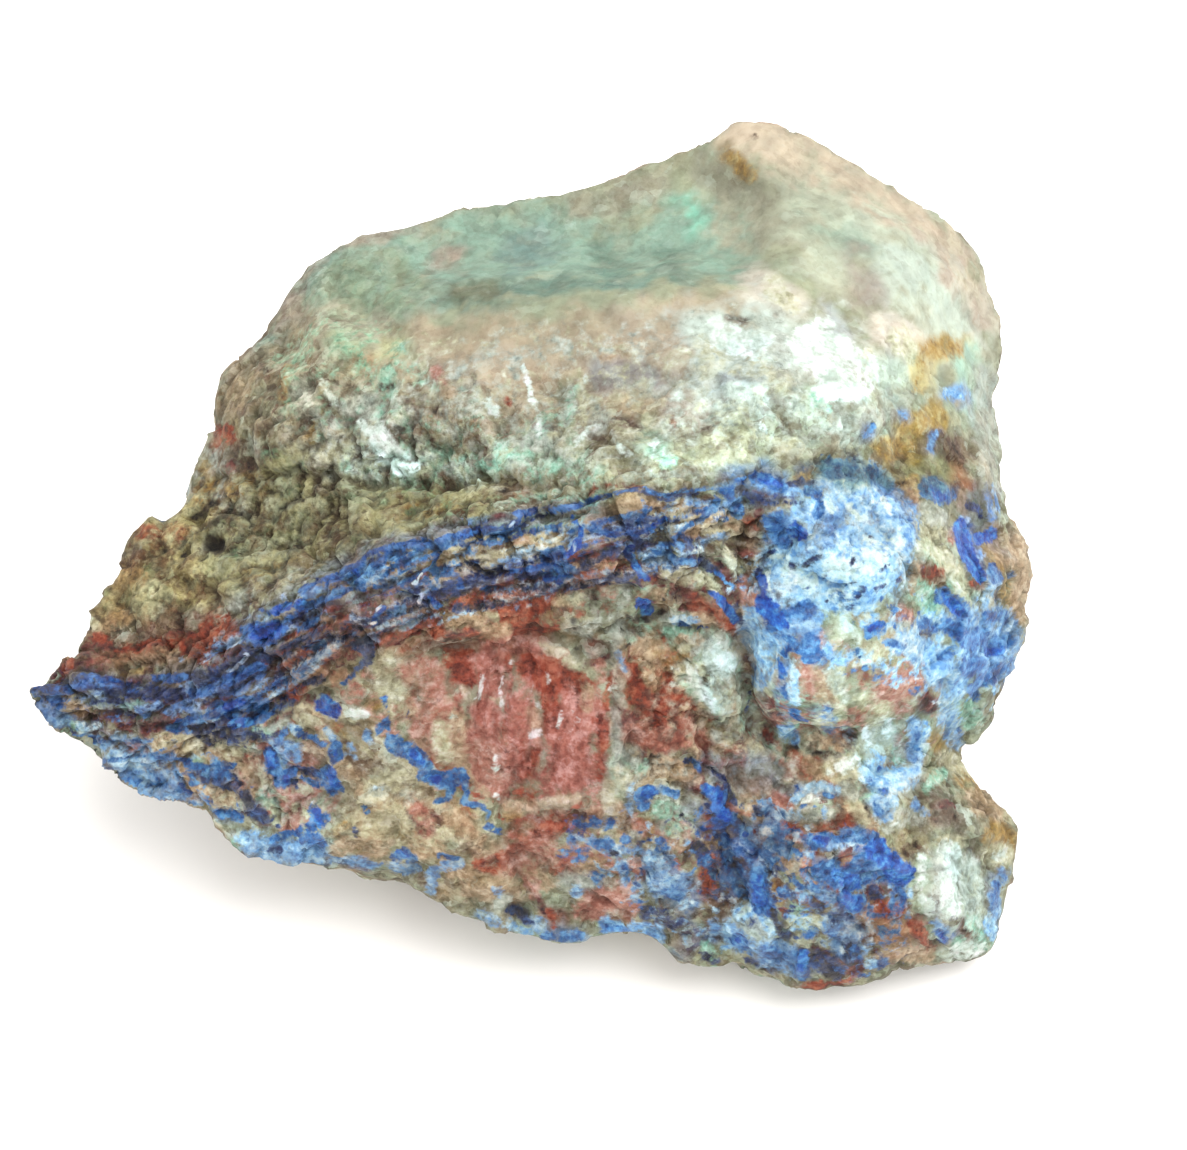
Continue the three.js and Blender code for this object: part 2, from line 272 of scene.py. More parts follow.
def cover_by(strokes, across, down):
    """How well strokes cover each place: above 0 inside, and changing more slowly in wide strokes."""
    cover = np.full(len(across), OUTSIDE)
    for width, fullest, places in strokes:
        edge = EDGE_OF_LINE + EDGE_BY_WIDTH * width
        margin = width - OUTSIDE * edge
        (left, top), (right, bottom) = places.min(axis=0) - margin, places.max(axis=0) + margin
        near = np.flatnonzero((across > left) & (across < right) & (down > top) & (down < bottom))
        gap = distance_to(places, across[near], down[near])
        cover[near] = np.maximum(cover[near], np.minimum((width - gap) / edge, fullest))
    return cover


# ---- Forms cut into and raised on the skin: 'half width, height' ----
RELIEF = shaped("""
0.6,-0.7: 35,48.1 42,48.4 48.7,48.1 56,49
0.5,-0.5: 27,47.5 30,47 33,48
0.5,-0.6: 19,52 21.5,50.5 / 20.5,53 23,51
0.4,-0.5: 28,50.5 30,50
1.1,-1.2: 21.4,54.5
0.7,-0.7: 18.5,55.5
0.6,-0.6: 16,55 / 20.5,56 / 43,27.2
0.7,-0.6: 50,28.8
0.6,-0.5: 46,30.5
0.6,-0.6: 48.5,47.8 / 51,47.8
0.8,-0.7: 74,32
0.7,-1.1: 64,61.4 66.5,60.7
0.9,-1.2: 74.3,64 74.3,67 74.6,70 75.5,72.5 77,74
0.7,-0.9: 78.5,74.8 80,73.6 85,73.2
0.35,-0.5: 53,74.5 51.5,77.5 50.2,80 50,81.2
0.7,-0.9: 57.5,62.2
0.6,-0.9: 57.8,64.9
0.5,-0.7: 51.3,65.1
0.6,-0.8: 27.8,81.5
0.5,-0.7: 47,56.8 49,57.6 52,57.6
0.6,-0.7: 56,58.8 60,58.4 63,58.6
0.5,-0.6: 67,62.5 70,63 73,63.2 / 45,64.8 50,64.2 55,63.5 60,64
0.6,-0.8: 62.3,76 63,73.5
0.7,-0.8: 70,74 73,76 74,78 / 79,81 82,82.5 86,82
0.6,-0.8: 72,84 74,88 74.5,92
0.7,-0.9: 51,90.8 52.5,91.4
0.5,-0.5: 24,71.5 28,70.5 32,69 / 13,72 18,72.8 23,73
1.9,1.1: 15.2,60
1.1,0.9: 23.7,59.8
1.0,0.6: 7.7,70.5
0.9,0.5: 19.5,56.8 23,56.8
0.6,0.4: 26.8,76 27.5,74.5 29.5,73.6 32,74 33.4,76 33.2,78.5 31,79.4 28,78.6
0.7,0.6: 54.5,79.8 58,80.3
1.2,0.8: 44,62.6 48,61.8 52,61.5
1.5,0.9: 55.5,61.4 59,61.6
0.8,0.6: 50.7,63
0.9,0.7: 93,73 92,76 90,78 87,79 89,80
1.4,0.8: 69.5,66.8 70.8,70
0.9,0.6: 71.5,66 73,69 73.5,73
1.9,0.5: 68,82.5
0.7,0.5: 61.8,63 62.2,66 62.2,70 62.4,74
1.4,0.6: 62,76 63,78.6
0.7,0.5: 36,79 38,80.4 41,82
0.8,0.6: 83,85 87,86 90,87
1.0,0.6: 75,92 76,94.5
1.3,0.5: 93.8,87 94.6,91
0.8,0.4: 31,45.8 33.4,46
0.8,0.5: 37.2,51.8 39.8,53.4
0.9,0.4: 39.5,45 41.5,47
0.5,0.4: 25.5,64.5 28.5,62.8 30,60 34,57.3 38.5,55.2 44,53.7 50,52 57,50.8
0.5,0.4: 33,60 38,61 43,59.7 48,58.5 53,57.5
0.6,0.5: 4.5,68.6 10,68.6 16,69.4 21,67.2
""")

# Where the skin is divided most finely
FINE_SKIN = drawn("""
5.2: 6,70 14,70 24,67 34,61 45,57.4 58,54.4 70,54.4
6: 50,70 56,72
4.6: 66,64 70,78 73,86
7: 82,54 92,60
4.6: 76,88 88,87
3.6: 14,77 28,78
3.4: 24,52 34,47.6 40,46
""")

# How much more broken the surface is than usual, from smooth faces to crumbly ledges: 'half width, share'
BROKEN = shaped("""
15,-0.6: 42,27 60,24 74,20
13,-0.65: 84,20 93,28
9,-0.3: 52,33 68,34
5,0.35: 32,40 38,44 44,43
4,0.25: 50,42 58,43
6,-0.25: 96,36 98,46
6,0.35: 14,62 24,55 30,48
5,0.4: 22,53 34,50.4 46,49
5,0.6: 8,69 20,69 30,62 45,57 60,54 72,54
6.5,-0.6: 49,71 56,72
7,-0.3: 84,68 90,68
9,-0.1: 76,84 88,88
6,0.2: 17,77 28,78
6,0.25: 66,70 70,78
""")

# How ragged each mineral's edge is
RAG = {
    "limonite": 0.5, "malachite": 0.6, "umber": 0.45, "wine": 0.5, "red_oxide": 0.5, "rose": 0.6,
    "tan": 0.5, "cream": 0.5, "ash": 0.6, "steel_blue": 0.6, "pale_blue": 0.6, "chalk": 0.6,
    "navy": 0.4, "azurite": 0.35, "bright_azurite": 0.35, "painted_pit_shade": 0.2, "painted_glint": 0.1,
}

# ---- Minerals, each in strokes with brushes 'half width @ fullest', the later ones on top ----
MINERALS = {
    "limonite": drawn("""
.7@.3: 24.6,57.6 28,57 / 96,77.4 97.4,79
1.0@.3: 20,49.6 26,48.2
.9@.3: 41,51 45,50 / 73,15.6 74.8,17.2 / 93.2,34.8 95.4,34.8
.35@.7: 12.4,67.2 14,67.1 15.4,66.9
.6@.5: 61.8,50.4 63.2,50.2 / 65.4,65.2 66.8,66 / 74,77.2 74.8,78.6
.7@.5: 51,54.8 53.4,54.4 / 100.6,58.6 100.9,60.6 / 93.3,73.4 93.8,74.4
.4@.6: 23.7,71.5 24.2,71.4 / 79.6,47.8 81.4,47.4 83,46.8
.5@.3: 57.7,51.6 58.6,51.9
.35@.6: 88.6,48.2 90.4,48 91.6,47.9 / 77.4,88.2 78,90.4
.8@.5: 99,55 99.8,56.4
.4@.5: 67.8,65.2 68.4,65.8 / 44.2,73.8 45,74.8
.7@.4: 64.6,82.4 65.4,84
.6@.3: 66.2,76.4 68,76.6 / 45,80 46.6,81 / 48,88 50,88.4
.5@.5: 36.8,70.4 37.8,70.5 / 51,81.2 52,81.4 / 28.6,37.2 28.4,39.8 / 91.8,36.2 91.9,38.8 / 30.8,43.8 32.4,42
.5@.4: 33.6,83.2 34.4,82.6 / 98.6,84 99,84.6
.4@.4: 33.4,72.6 34.2,73.6
.6@.4: 59.4,86 60.8,85
1.1@.95: 99.5,83.2 100.9,83.8
1.1@.45: 91,42.6 93.6,41.6
1.2@.4: 88.6,45 90.2,44.6
"""),
    "malachite": drawn("""
1.0@.2: 27,46 29.6,46.4
.8@.3: 21,56.6 22.4,57.2
.6@.4: 23.4,55.6 / 92.6,55 94.4,55.8 / 92.4,79 94,77.6 / 88.2,73.8 89,72.8 / 34,34 35,35 / 43.4,46.4 45,45.2
.45@.7: 12.6,70.7 13.4,70.4 14,70.2
.5@.4: 6.8,72.4 8,73 / 25.6,72.9 27.6,73 / 95.4,58.6 96.4,59.4 / 69.6,66.4 70.6,65.6 / 23,84.2 24,84.6
.5@.4: 70.6,94.4 71.4,95.6 / 95.4,94.6 96,94 / 39.4,34.8 40.2,34.6 / 81.6,39.8 82.8,40.8 / 57.8,39 56.6,42
.4@.4: 66.8,63 69,63.2 / 62,75.4 63,76.4
1.0@.8: 92.2,59.2 92.8,60.8
.8@.5: 84,61.6 85,63.2
.7@.5: 95.4,70.4 96.4,72.4 / 38.6,37.4 38.9,39.2
.7@.7: 97,70.6 97.4,71.6 / 68.5,68.1 69.4,69.4 70.6,70.4 71.4,71
.4@.5: 79,72.8 79.8,72.4
1.0@.4: 66.6,80.8 68.2,82
.35@.7: 66,82.4 66.8,83.1
.5@.5: 63.6,76.9 64.4,76.3 / 48,46.6 49.4,46.4 / 51.8,45.4 53,46.2 / 55,46.8 57.8,46
.3@.7: 63,63.9 63.8,63.4
.6@.6: 26.2,79.2 27.2,79.8 27.2,80.6
.3@.5: 19.4,75.9 20.1,76
.7@.4: 79.6,90.8 80.8,92.4
.9@.5: 97.4,92.2 98.2,94.4
.8@.6: 65.2,44.8 66.8,46.2
"""),
    # umber: dark brown earth, and partly painted shade: beside the knob at 24.6,58.6 to 25.6,60.4, in the
    # crevice at 62.9,75.3 to 64.8,75.8, and under the dome at 83.8,73 to 85.6,73.5
    "umber": drawn("""
.8@.6: 26,45.6 27,47 / 15.4,54.2 17,55.6
.9@.6: 30,47.2 31.2,48.6
.5@.7: 29,54.6 30.2,55 / 24.6,58.6 25.6,60.4 / 72.8,31.8 74.4,32.2
.8@.4: 33.4,54 34.8,55
.6@.6: 20,50.6 22,49.4 / 49.8,55 50.2,55.4
.8@.3: 20.6,58.8 22,60.6 / 84.6,79.4 83.8,80.2
.5@.5: 12.2,55.8 13.6,57.2 / 73,87 74,87.6
1.0@.5: 77.8,79.8 78.6,81
.6@.5: 17,60.6 17.6,62 / 75.4,51.6 76.4,53 / 92.6,57 93.6,57.8 / 40.9,40.4 41.5,42.2
.35@.6: 13.9,72.2 15,72.2 / 40.2,55.8 40.6,58.2 / 97.3,58.3 98,58.3 / 63.1,66.6 63.3,67.8
.35@.6: 85,78.7 85.6,78.2 / 26.4,45.8 26.6,47
.3@.6: 33.6,55.2 34.4,54.8 / 60,60.6 60.8,60.8 / 70.2,71.4 71.4,71.6 / 55.8,91.3 56.2,91.7
.3@.6: 80.8,82.1 82,81.8 / 31.4,38.4 31.8,41 / 37,41.4 37.2,42.6 / 35,46.8 37,47.4
.9@.8: 40.9,55.6 41.7,57.2 41.3,57.8
.3@.9: 52.2,55.2
.5@.6: 66.2,49.8 67,50.1 / 85,71.6 86.4,72.4 / 61.4,42.6 63.6,42.8
.4@.7: 70,49.8 70.9,50 / 41.8,43.6 42.4,45
.4@.6: 58.6,58.4 59.6,59.6 / 34,44 35.4,43.6
.4@.5: 68,53.8 68.4,54.6 / 81,68.4 82,69.4 / 72.4,85.6 74,87.6 / 62.4,81.6 62.6,83 / 70.8,77 71.2,77
.4@.5: 20,74.4 20.4,75.2 / 54,90.2 54.4,91 / 91.6,79.6 92,80.6 / 95.2,91.6 96,92.2 96.6,93.4
.35@.8: 3,68.7 4.4,68.5 / 70.1,68.3 70.6,68.8
.5@.4: 19.4,67.6 21.4,66.6 / 92,69.8 93,70.6 / 42,87.6 42.6,88.2 / 91,85.2 91.6,84.4 / 90,94 90.8,95
.25@.8: 48.8,62.8 50.6,63 52,62.7 54,62.3
.3@.5: 31,62.6 33,62.6 34.6,61.6 / 75.8,54.6 76.2,54.6 / 88.4,48.3 91.4,48.2 / 83.8,73 85.6,73.5 / 74.4,78
.3@.5: 66.4,72.6 66.8,74.4 / 73.4,70 73.4,71.4 / 51.2,65.3 51.6,65.1 / 95,44 96.4,46
.45@.8: 65.7,83.2 66.5,83.8
.7@.6: 62.9,75.3 64.8,75.8
.3@.7: 62.1,72.6 62.6,73 / 77.4,31.7
.2@.6: 61.5,70.2 / 62.4,66.9 / 35.4,72.2 36.4,72.8 / 36.8,73.2 37.6,73.6 / 46.8,87 48,87.1
.25@.5: 75.3,77.6 / 33.4,73 34,74 34.6,74.2 / 41.4,81.2 42,81 / 41.2,83 42.2,83.2 / 26.6,84 26.6,83.6
.25@.5: 47.4,37.2 47.8,38.8
.25@.7: 25.1,75.9 25.5,76.1 / 77.6,89.7
.18@.6: 37.9,80.1 39.2,80 40.4,79.4
.2@.5: 38.8,77.6 39.6,77.2 / 40.2,66.8 / 57.6,81.2 57.4,81.8
.25@.6: 44.2,84.2 44.6,84.4 / 75.4,13.7
.4@.4: 35,77.2 35.6,78 / 48,84.4 47.4,85.6 / 96.8,84.8 97.6,86.2 / 44,41 45.6,41.8 / 26.2,36 26.8,38
.5@.3: 14.6,73.4 15,73.8
.15@.6: 44.2,64.2 46,63.8 48,63.8 / 41,66.4 43.6,65.8 46,65 / 49.4,70.8 49,72.6 / 56.4,79.4 58,79.4
.15@.6: 64.2,46.6 66.4,47
.2@.8: 53.3,74.6 52.6,76.4 51.8,78.2 50.6,79.8 50.2,81.2
.3@.4: 47.6,78.4 47.4,79.6 / 59.6,40.6 60.4,41.4
.15@.5: 44.4,77 45,76
.6@.4: 93.4,82 95.2,81.6 / 87,93.2 87.4,95
.45@.7: 90.1,90.1 90.8,90.6
.8@.5: 72,89.8 72.8,91.2
.15@.7: 69,43.4 71.8,42.5 75.4,43
.25@.4: 86.8,43.2
"""),
    "wine": drawn("""
.7@.4: 23,46.8 25,46.8
.6@.6: 9.6,63.9 10.8,64.4 / 11.4,71.8 12.6,72.6 / 14.8,72.8 16.2,72.3 17.4,71.4 / 40.8,63.2 42,62.4
.3@.8: 8.4,64.8 10,64.9 12,65.1
.25@.8: 12.4,65 14,64.5 15.6,64.1 16.8,64.7
.25@.7: 16.6,63.5 18.6,63.2 20.6,63.6
.5@.6: 22.4,63.6 23.8,64.2 23.4,65.2 / 61.4,55.4 62,56 / 63.3,67 63.8,68.6 / 66.8,72.4 68.4,72.8
.6@.5: 5.4,68 6.4,67 / 29.4,62.2 30.6,61.6 / 53,58 55,58.4 57,58 / 66.2,74 68.4,74 / 69.6,84.2 70.4,83.6
.6@.5: 86.4,89 88.2,88.8
.4@.5: 10.2,70.6 11.4,71.4 / 19.6,70.4 21,70.6 / 90.4,61.4 91,62 / 74.2,74.2 74.4,75.6 / 42.6,83 43.6,83.4
.4@.5: 28.8,81.2 29.6,81 / 53.8,89.8 54.4,91.2 / 94.4,80.6 95.2,80.6
.5@.8: 27.6,69.9 29.4,69.9 31,69.8 / 65,57.8 65.8,58.4
.5@.7: 31.8,60.8 33.6,60.6
.7@.6: 33.6,62.4 36,62 38,61.9
.5@.5: 31,63.4 32.6,63.2 34.6,62.9 / 38.6,64.2 40,64 / 75.2,48.9 76.6,49 / 41.2,81.4 42,82.2
.5@.5: 80.6,90 81.8,90.3
.3@.7: 46.4,52.9 47.8,52.4 49.4,51.9 51.2,51.8 / 68.6,55.3 69.4,55.8
.2@.6: 38,54.1 41,53.9 42.8,53.9 / 81.7,79.9 82.4,79.8 / 45,63.6 47.6,63.4 50,63.2
.8@.8: 46.8,56.9 48.4,57.2 49.6,57.6
.7@.8: 47.6,58.4 49.4,58.6 51,57.8 / 71.8,56.6 72.6,57.6
.8@.7: 61,54.2 62.4,54
.6@.8: 64.4,53.6 65.2,54.6
.4@.6: 63,53 64,54 / 64.6,70.4 65.6,72.4 / 81.4,95.2 82.6,95.4
.6@.7: 73,58.4 73.8,59.8
.3@.9: 67,58.6 67.2,59.6
.45@.8: 68,59 69.4,59.6
.4@.7: 73,62 73.8,63.2 / 62.3,71 62.5,73
.45@.9: 74.5,65.6 74.4,67.8
.35@.9: 74.9,71.8 75.6,72.8
.5@.9: 75.8,73.1 77.4,74.2
.8@.6: 76,69.8 76.8,70.8 77.4,72
.7@.5: 92.6,69.8 93.2,70.4
.5@.4: 76,51.4
1.0@.5: 62.9,72.4 64,73.6 / 72.4,85.6 73.6,86.8
.35@.7: 70.3,73.2 70.7,75 70.8,76.8
.35@.6: 70.8,80.4 71,82.4
.4@.4: 72.4,83.2 73.4,83.6
.3@.5: 43.4,81.6 44.2,82.2
.35@.5: 24.4,75.4 25,75.3
.25@.5: 48.4,73.6 48.2,76 / 52.4,88.6 53,87.8 / 48.6,45 48.7,46
.2@.5: 58.6,66.8 60,66.1 61.2,65.4
.22@.5: 43.6,69.4 44,70.2
.4@.9: 80.9,85.4 81.6,85.5
.45@.7: 84.2,85.8 85,85
.7@.9: 84.4,95.5 85.4,96.6 85.6,97.2
.15@.7: 58.6,66.6 59.8,66 61,65.2
"""),
    "red_oxide": drawn("""
.7@.3: 22.2,43.2 23,43.6
.8@.3: 14.6,53.2 17.6,53.4
1.0@.6: 20.8,62.8 22.4,62.6 23,63.2
.7@.8: 20.8,64.2 22.2,64.8 / 66.9,67.8 67.4,68.8 / 59.8,71.8 60.3,74.4
.7@.5: 17,64.2 19,64.3 / 41,62.8 42.4,62.2
.7@.6: 19,65 20.6,65.6 / 53,61.8 50.6,62.2 / 12,65.2 16,64.6 19,64
.5@.5: 21.4,61.6 22.6,61.8 / 45,61 46,60.8
.5@.6: 9.8,63.8 11,64 / 46.4,60.2 48,59.8 / 57.8,57.4 58.4,57.2 / 63.4,70.2 64.6,70.2 / 46.4,69 45.9,69.8
.5@.6: 55.6,86.8 56.4,85.8 58,86.1
.6@.5: 5.6,67.6 6.8,66.4 / 20.6,66.2 22.6,65.9 / 92.6,57.2 93.8,56.8 / 78.6,82.6 79,83.6
.6@.5: 59.6,90.6 61.6,89.8
1.0@1: 28.4,68.6 29.4,68.8
.3@.6: 28.4,63.8 29.6,63.3 / 20.2,70.8 21.4,70.7 22.6,69.8 / 67.3,41.8 67.6,42.6
.4@.6: 32,61 33.2,60.8 / 39,60 40.4,59.8 / 70.6,81.4 70.8,82.4 / 28.6,82.8 29.4,82.6 / 54.8,91.2 55.2,92.4
.4@.6: 83,83.2 83.8,83.3
.6@.6: 43.4,62.4 44,63.2 / 47.8,86.4 49.6,86.8 / 80.6,76.4 81,77.6
.35@.9: 58.8,49.4 59.6,48.8 61.4,48.6 63.2,48.8 64,49.1 / 80.8,98.7 83.4,98.5 85.2,98.1
.4@.9: 57,55.9 58.2,55.6 59.4,55.2
.7@.7: 47.6,59.6 50,60 52,59.4 / 55,82.8 57.2,82.3
.9@.7: 50.6,61 53,60.6 54.6,59.4 / 67.4,71.6 68.8,72.4 / 65.4,71 66.4,72.6
.6@.7: 69.4,60 70.8,61 72,61.8 / 63.2,66.8 63.6,68.4 64.4,69.2
.5@.7: 72.4,62.2 73.4,62.8 / 58.3,67.8 59.3,68.6 / 48.6,63.8 52,63.2 55.4,62.8 / 56.2,75 56,78
.5@.4: 91.2,67.4 92,67.8 / 72.4,74.6 73.4,75
.4@.5: 97.4,58.2 97.8,58.6 / 64,82 64.4,82.8 / 67.6,86.2 67.8,86.8 / 60.8,69 60.6,70.6 / 92.4,94.6 93.2,95
.4@.5: 21.8,43.2 21.7,44.4
.5@.3: 75,51.8 75.2,52.6
.9@.8: 65,69.6 66.4,69.4 67,70.6 / 70.7,85.8 71,87 70.8,88.6 / 50.2,85.8 51.6,84.9 52.4,84.3
.9@.8: 87.8,91.1 89.6,91
.4@.4: 61.6,67.4 61,68.6
.45@.8: 24.5,75.7 25.7,75.8
.3@.5: 46.2,80.6 46.6,82 / 48.3,75 48,77 / 58.6,73.6 58.4,76.6 / 56.4,71.8 56.2,74 / 57.9,80.6 57.6,82
1.2@.95: 45.8,66.2 46.8,67.6
.6@.9: 47,65.4 47.2,66.4 / 62.9,67 63.5,69.2
.3@.7: 48.1,66.4 48.2,68.6
.25@.7: 49.4,65.6 49.6,68.4 49,69.4 / 50.5,65.2 50.8,67
1.5@.95: 53.3,66.6 54,67.8 55.6,66.6
1.2@.9: 55.8,67.8 57,68.6
.8@.8: 54.6,69.4 54.9,71.4 54.8,73.4
.25@.6: 48.6,71 48.2,73 / 49.8,71.4 49.4,73.4 / 78.3,90.9 78.5,91.6
.22@.5: 50.7,72 50.8,76.4 / 51.9,71.6 51.6,74
.5@.8: 53.4,75.2 52.8,77.2 / 59.9,75.4 59.7,78
.4@.8: 55.5,74.4 55.7,77 / 54.8,65.2 57,66.6
.35@.6: 57.5,75 57.3,78.6 / 50.5,39.8 50.9,40.5
.35@.5: 57.8,70.6 57.4,72.4
.9@.9: 53,84.1 54.2,83.4
.6@.95: 79.3,75.8 79,77.4
.8@.7: 78.9,82.6 79.5,83.5
.55@.9: 84.4,82.3 85.4,81.9
.6@.8: 91.2,92.3 92.2,93.8 / 79.2,75.6 78.8,77.6
.5@.9: 28.2,68.4 29.6,68.8
.9@.6: 51,60.4 54,59.6
1.4@.85: 64.8,70.6 67.4,70.4 68.4,71.8
"""),
    "rose": drawn("""
.8@.5: 31,65.4 33,65.6 / 70.2,74.2 72,75.4 / 77.8,79.8 78.6,80.4 / 52.6,86.8 53.4,88.6
.7@.5: 34,65 35.4,64.6 / 68,72 69.2,73 / 72,76.2 73.6,76.4
.6@.4: 28.6,66.4 30,67 / 60,58 61,59.4 / 65.6,73.6 67,73.2 / 12.6,74.4 14,74.9 / 57,85.2 58.6,84.8
.6@.4: 92.2,92.2
.4@.6: 40,62.4 40.6,62.8
.4@.5: 42.4,57.2 42.8,58.6 / 58,57.8 59,57 / 47.4,60.8 49,60.6 / 91,49 91.2,50.4 / 79.8,90 79.9,89
.4@.5: 82.6,89.8
.5@.4: 74,58 74.4,60 / 9.4,66 10.6,65.6 / 73.2,80.6 74.6,81.2 / 62.4,90.4 63.6,91 / 78.6,80 79,80.6
.9@.6: 80,67.6 81,69.2 / 51.6,75 50.8,78 / 59.4,69.6 59.6,71 / 49,64.6 53.6,64.4
1.2@.5: 89,68.6 91.2,68
.8@.4: 88.4,69.8 90,70.6 / 64.4,73.2 65.4,74.4
.4@.4: 95,53.4 95.2,54 / 70.6,80.8
.6@.3: 75,58 75.2,60 / 89.6,61 90.6,61.4
.6@.5: 63.4,82.4 64.4,83.6 / 41.8,80.8 42.8,82.4 43.4,83.4 / 43.8,37.2 44.3,38
.5@.5: 63.4,86.4 64,87 / 46.9,72.6 47.2,76
.8@.8: 29.6,79.9 30.4,79.2 31.2,78.7
.6@.6: 28.2,78.8 28.6,80.2 / 59.6,79 59.8,80.8
.6@.8: 28.8,82.6 29.7,82.1
.5@.6: 27.4,77.8 26.8,77 / 30.8,76.3 31.4,76.4 / 60.2,66.4 60.2,68
1.5@.7: 49,66 49.4,69
1.8@.7: 48.8,71.6 49.2,78
1.2@.6: 51.8,70.6 52.2,73.6
2.2@.8: 56.8,72.8 57,77.4
.8@.6: 54.4,77.4 54.8,79
1.3@.5: 42.6,66.8 43.8,69.6
1.0@.6: 42.4,71 42,73
.9@.5: 45,70.6 45,72
1.4@.6: 51.4,86 54.4,84.8
1.0@.8: 58.4,91 60.6,89.9 62.6,89.4
.3@.7: 80.7,86.2 80.6,87.6 81.8,88.6
1@.7: 62.9,73.2 66,74.2 69.6,73.4
"""),
    "tan": drawn("""
.9@.4: 12,57.4 14,57.8 / 41.4,84.6 44,84.8 / 45,86.8 46.6,87.4 / 49,84.6 47.4,84
.7@.6: 12,66 14,65.9 16.4,65.6 / 26.6,68.4 27,69.4 / 65,51.2 66,51.2 / 69.4,61.6 70.6,62
.6@.6: 17.6,66.5 19,66.4 / 65.6,59.4 66.4,60.2 / 96,49.8 96.4,51
.7@.9: 7.2,70.8 7.9,71 / 21.2,75.6 22.6,75.7 23.2,75.4 / 30.6,74.9 31.6,75.4
.3@.7: 12.1,67.7 12.8,67.8
.3@.6: 17.4,68.4 18,68.4
.8@.6: 29.4,67.2 31.2,67 / 67.6,57.6 69.6,57.4 / 50.8,80.6 53,80.6 / 89,95.2 92.6,95.6 / 80.4,73.8 83.6,74.2
.5@.6: 33.4,67.8 34,67.4 / 31,59 33,58.4 / 60.6,52.6 62.6,52.6 / 34.6,61.2 36,60.9 / 47.8,78.4 48.6,80
.5@.7: 35,56.4 36,55.2 / 38.2,57.6 39.6,57.4 / 58.4,52.3 60.4,51.4
.35@.6: 38.4,56.8 39,56.6
.7@.8: 44.2,56.4 45.2,55.6 45.8,56.6 / 54.8,53.8 56.2,53.9 / 61.6,51.2 63.4,50.6
.4@.6: 46.6,55.4 48,54.8 / 78.8,86.6 79.6,87.4
.9@.9: 51,55.6 52.6,54.6 54,54.6
.6@.7: 59,54.2 59.6,54.4 / 65,67.2 65.4,68.8
.5@.5: 68,50.6 70,51 / 67.4,84.6 68.4,84.6 / 82.8,77.4 83.4,76.8 / 77.4,86.2 78.2,86
.9@.6: 68.2,53.4 69.6,53 / 71.4,52.4 73.2,52.4 / 73.6,77.4 74.8,79
.8@.5: 45.4,61.8 47.6,61.6 / 90.9,48.8 91.2,51 / 85.4,66 87.4,64.8 / 61.6,80.6 62,83
.8@.5: 45.8,72 46.2,75.4 46.6,77.4 / 57.6,86.4 60,87.2 / 80.8,76.2 82,77.2
.7@.7: 48.6,63.3 50.6,63
.3@.8: 37.5,59.5 37.9,60.2
.35@.7: 32.6,62.1 33.4,62.1 / 84.6,86.1 85.2,86.1
.4@.5: 30.8,62.2 31.8,62
.8@.4: 11,62.4 12.6,61.6 / 90.6,58.6 91.4,56.8 / 72.6,68.6 73,71.4 / 34.4,76.8 35.4,78.6 / 97,79.6 99.6,81.4
1.0@.6: 101.8,54.4 102.4,58 102,61.4
.7@.5: 99.4,54.4 100.4,56 / 75.8,77.6 76.6,78.6 / 17.4,77.2 19,77.6
.7@.4: 86,61.6 88,61.2
.6@.5: 84.9,50.6 85,51.6 / 68.2,64 70,64.4 / 25.2,78.6 25.6,79.4 / 58.6,70.4 58.8,69
.5@.4: 77.4,50.9 78.4,50.7 / 40.6,69.4 41.2,71
.9@.3: 82,68 82.6,70
.4@.4: 76,55 75.4,57
1.0@.7: 64.2,65 66,65 66.2,66.6
.9@.5: 66,76.6 68.6,76.8
.6@.4: 67.8,78 69.4,77.8 / 20.6,82 22,83 / 53,71.2 53.2,72.4 / 59.6,81.2 60.4,82.6
.6@.9: 15.2,74.5 17.8,74.4
.8@.8: 24.4,76.6 25.8,77.2 26.2,78.2 / 19.8,79 21.4,79.6 23,79.8
1.2@.4: 44.4,80 46,82.4 / 34.6,84.6 38,84.4
1.0@.4: 54.8,88.4 53,87 / 60.4,35 63.6,34.8
1.4@.4: 47.4,88.8 50.6,89
.6@.8: 84.6,80.4 86.2,81.3 87.6,82.8
1.2@.5: 88,93 90,93.6
"""),
